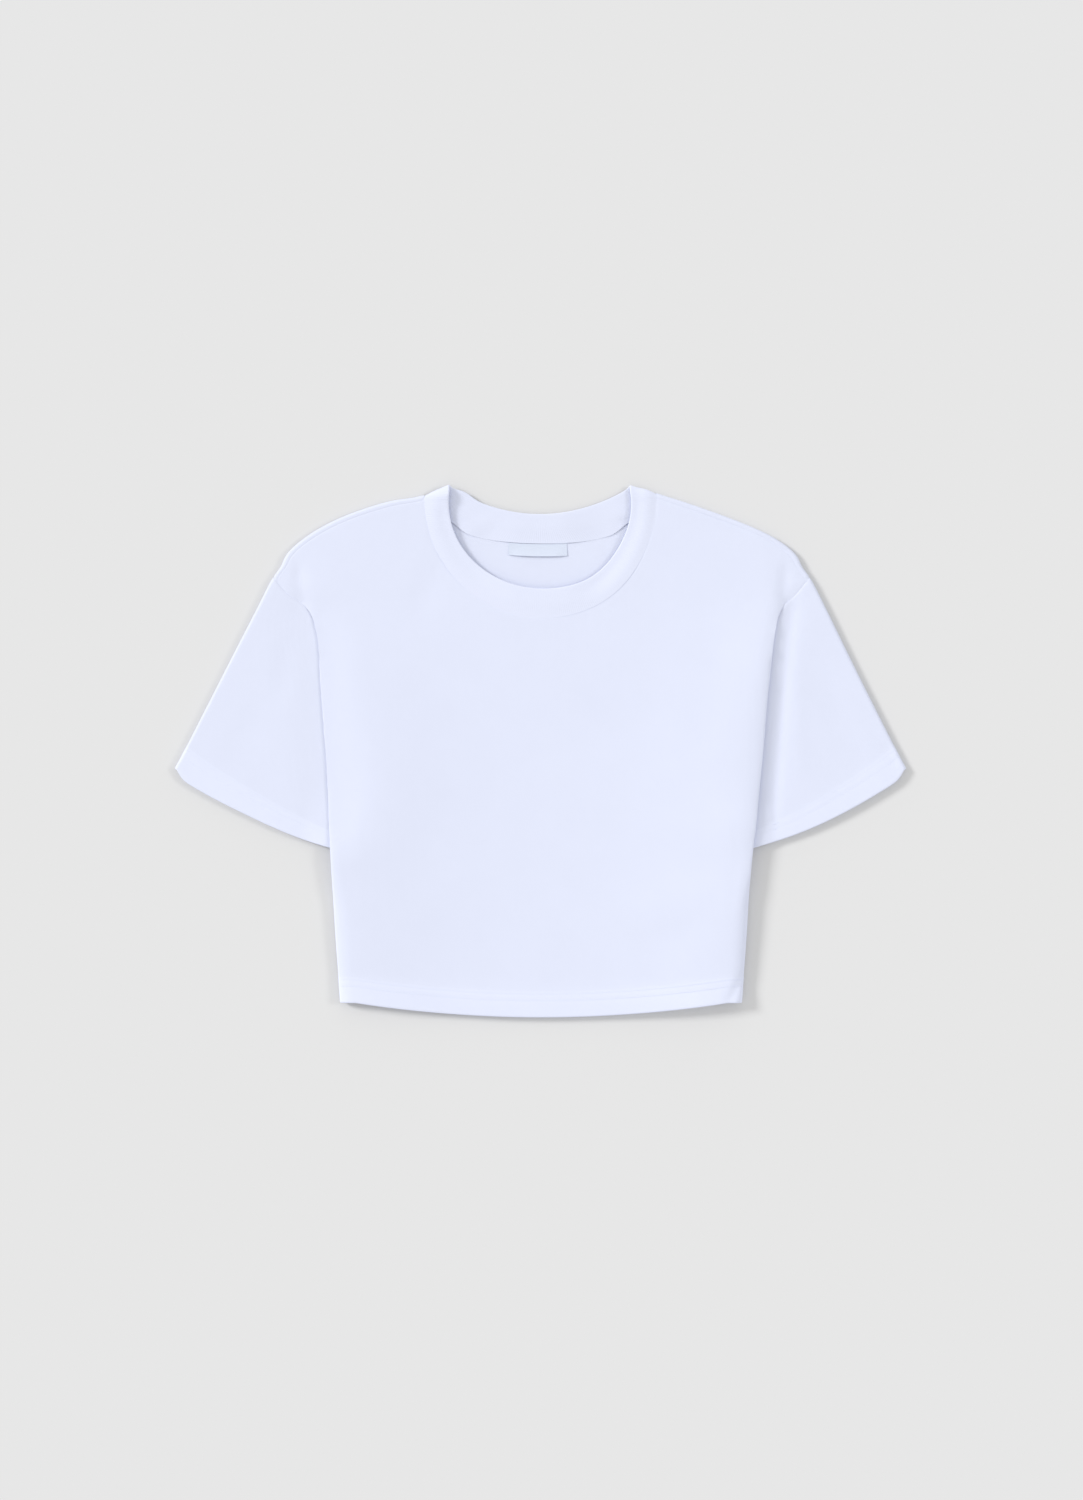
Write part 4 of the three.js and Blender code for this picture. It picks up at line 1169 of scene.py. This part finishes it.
class CROPTOP_OT_neckband(bpy.types.Operator):
    """Make the ribbed neckband"""

    bl_idname = "croptop.neckband"
    bl_label = "Neckband"

    def execute(self, context):
        sizes, colours = context.scene.crop_top_sizes, context.scene.crop_top_colours
        seam, free = neckband_edges()
        middle = (seam + free) / 2
        length = np.concatenate(((0,), np.cumsum(np.linalg.norm(np.diff(middle, axis=0), axis=1))))
        count = round(length[-1] * MM / sizes.rib_pitch) * POINTS_PER_RIB
        at = np.linspace(0, length[-1], count, endpoint=False)
        seam, free = (evened(edge, at, length) for edge in (seam, free))
        width = free - seam
        wide = np.linalg.norm(width, axis=1)
        across = unit(width)
        middle = seam + free
        along = unit(np.roll(middle, -1, 0) - np.roll(middle, 1, 0))
        outward = unit(np.cross(along, across))
        half = sizes.rib / MM / 2
        ridge = sizes.rib_relief / MM * np.cos(math.tau * np.arange(count) / POINTS_PER_RIB)

        # Section: from the seam up the outer face, round the folded edge and back down the inner face.
        outer = [(s, 1.0, 0.0) for s in (0, 0.02, 0.05, 0.1, *np.linspace(0.2, 0.9, 8))]
        edge_turn = [(1.0, math.cos(a), math.sin(a)) for a in np.linspace(0, math.pi, 9)]
        steps = outer + edge_turn + [(s, -f, e) for s, f, e in reversed(outer)]
        points, uv = [], []
        for s, face, edge in steps:
            distance = s * (wide - half)
            body = half * mix(0.36, 1.0, float(smooth(0, 0.6, s))) + ridge * float(smooth(0, 0.08, s))
            place = seam + across * distance[:, None] + outward * (face * body)[:, None]
            place += across * (edge * (half + ridge))[:, None]
            points.append(place)
            up = float(np.mean(distance))
            uv.append(np.column_stack((at, np.full(count, up if face >= 0 else -up - half * math.pi / 2))))
        points, uv = np.array(points), np.array(uv)
        rows, columns = points.shape[:2]
        number = np.arange(rows * columns).reshape(rows, columns)
        after = np.roll(number, -1, 0)
        faces = np.stack((number, np.roll(number, -1, 1), np.roll(after, -1, 1), after), -1).reshape(-1, 4)
        laid = as_laid(points.reshape(-1, 3))
        piece = finished("ribbed_band", cloth_mesh("ribbed_band", laid, faces.tolist(), uv.reshape(-1, 2)))
        dress(piece, material_named("cotton rib", rib_material, tuple(colours.rib)), "neckband")
        return {"FINISHED"}


class CROPTOP_OT_label(bpy.types.Operator):
    """Make the bare neck label, held by a stitch line at each end"""

    bl_idname = "croptop.label"
    bl_label = "Neck label"

    def execute(self, context):
        sizes, colours = context.scene.crop_top_sizes, context.scene.crop_top_colours
        on_back = BACK_Z + (sizes.jersey / MM + LABEL_THICK) / 2 + 0.06
        grid = []
        for up in np.linspace(0, 1, 17):
            row = []
            for s in np.linspace(0, 1, 53):
                x = (s - 0.5) * LABEL_WIDE
                seam_y = neck_point(NECK_HALF, NECK_SIDE_Y, BACK_NECK_DROP, math.asin(x / NECK_HALF), 0)[1]
                end = min(s, 1 - s) * LABEL_WIDE
                lifted = mix(0.5, 1.4, float(smooth(0, 11, end))) * (1 - up) ** 2
                drawn_in = 0.05 * float(bell(end - 2.6, 0.9))
                y = seam_y - 0.15 - LABEL_HIGH * (1 - up)
                row.append((x - LABEL_OFF_CENTRE, y, on_back + lifted - drawn_in))
            grid.append(row)
        grid = np.array(grid)
        points, quads, _ = join([grid])
        piece = cloth_wall("bare_label", as_laid(points), quads, LABEL_THICK, points[:, :2].copy())
        tape = material_named("woven tape", woven_material, tuple(colours.label))
        dress(piece, tape, "neck_label")
        face = (0, 0, LABEL_THICK / 2 + 0.05)
        lines = [as_laid((grid[:, column] + face)[1:-1]) for column in (3, -4)]
        thread = material_named("sewing thread", thread_material, tuple(colours.thread))
        rows = stitches("label_stitches", lines, thread, sizes)
        return {"FINISHED"}


class CROPTOP_OT_stage(bpy.types.Operator):
    """Make the surface, the light and the camera"""

    bl_idname = "croptop.stage"
    bl_label = "Surface, light and camera"

    def execute(self, context):
        scene = context.scene
        view = bpy.data.cameras.new("camera")
        view.lens = LENS
        camera = bpy.data.objects.new("camera", view)
        camera.location = CAMERA_PLACE
        context.collection.objects.link(camera)
        scene.camera = camera

        mesh = bpy.data.meshes.new("surface")
        square = [(x * SURFACE_REACH, y * SURFACE_REACH, 0) for x, y in ((-1, -1), (1, -1), (1, 1), (-1, 1))]
        mesh.from_pydata(square, [], [(0, 1, 2, 3)])
        surface = bpy.data.objects.new("surface", mesh)
        context.collection.objects.link(surface)
        colour = tuple(scene.crop_top_colours.surface)
        material, _, _ = shader("pale surface", colour, 1.0, 0.0)
        material.node_tree.nodes["Principled BSDF"].inputs["Specular IOR Level"].default_value = 0.0
        mesh.materials.append(material)

        world = bpy.data.worlds.new("soft light")
        world.use_nodes = True
        background = world.node_tree.nodes["Background"]
        background.inputs["Color"].default_value = (1, 1, 1, 1)
        background.inputs["Strength"].default_value = SKY_STRENGTH
        scene.world = world
        for name, given in LAMPS.items():
            light = bpy.data.lights.new(name, "SUN")
            light.angle = LAMP_ANGLE
            light.energy = given["energy"]
            lamp = bpy.data.objects.new(name, light)
            lamp.location = given["place"]
            lamp.rotation_euler = (-lamp.location).to_track_quat("-Z", "Y").to_euler()
            context.collection.objects.link(lamp)
        scene.view_settings.view_transform = "Standard"
        return {"FINISHED"}


class CROPTOP_PT_panel(bpy.types.Panel):
    """Lists the garment's sizes, colours and pieces"""

    bl_label = "Crop top"
    bl_idname = "CROPTOP_PT_panel"
    bl_space_type = "VIEW_3D"
    bl_region_type = "UI"
    bl_category = "Crop top"

    def draw(self, context):
        for group in (context.scene.crop_top_sizes, context.scene.crop_top_colours):
            box = self.layout.box()
            for name in type(group).__annotations__:
                box.prop(group, name)
        for operator in OPERATORS:
            self.layout.operator(operator.bl_idname)


OPERATORS = (
    CROPTOP_OT_stage,
    CROPTOP_OT_back,
    CROPTOP_OT_front,
    CROPTOP_OT_sleeves,
    CROPTOP_OT_neckband,
    CROPTOP_OT_label,
)
CLASSES = (CropTopSizes, CropTopColours, *OPERATORS, CROPTOP_PT_panel)


def register():
    for cls in CLASSES:
        bpy.utils.register_class(cls)
    bpy.types.Scene.crop_top_sizes = PointerProperty(type=CropTopSizes)
    bpy.types.Scene.crop_top_colours = PointerProperty(type=CropTopColours)


def unregister():
    del bpy.types.Scene.crop_top_colours
    del bpy.types.Scene.crop_top_sizes
    for cls in reversed(CLASSES):
        bpy.utils.unregister_class(cls)


def main():
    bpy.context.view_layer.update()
    register()
    bpy.ops.croptop.stage()
    bpy.ops.croptop.back()
    bpy.ops.croptop.front()
    bpy.ops.croptop.sleeves()
    bpy.ops.croptop.neckband()
    bpy.ops.croptop.label()


if __name__ == "__main__":
    main()
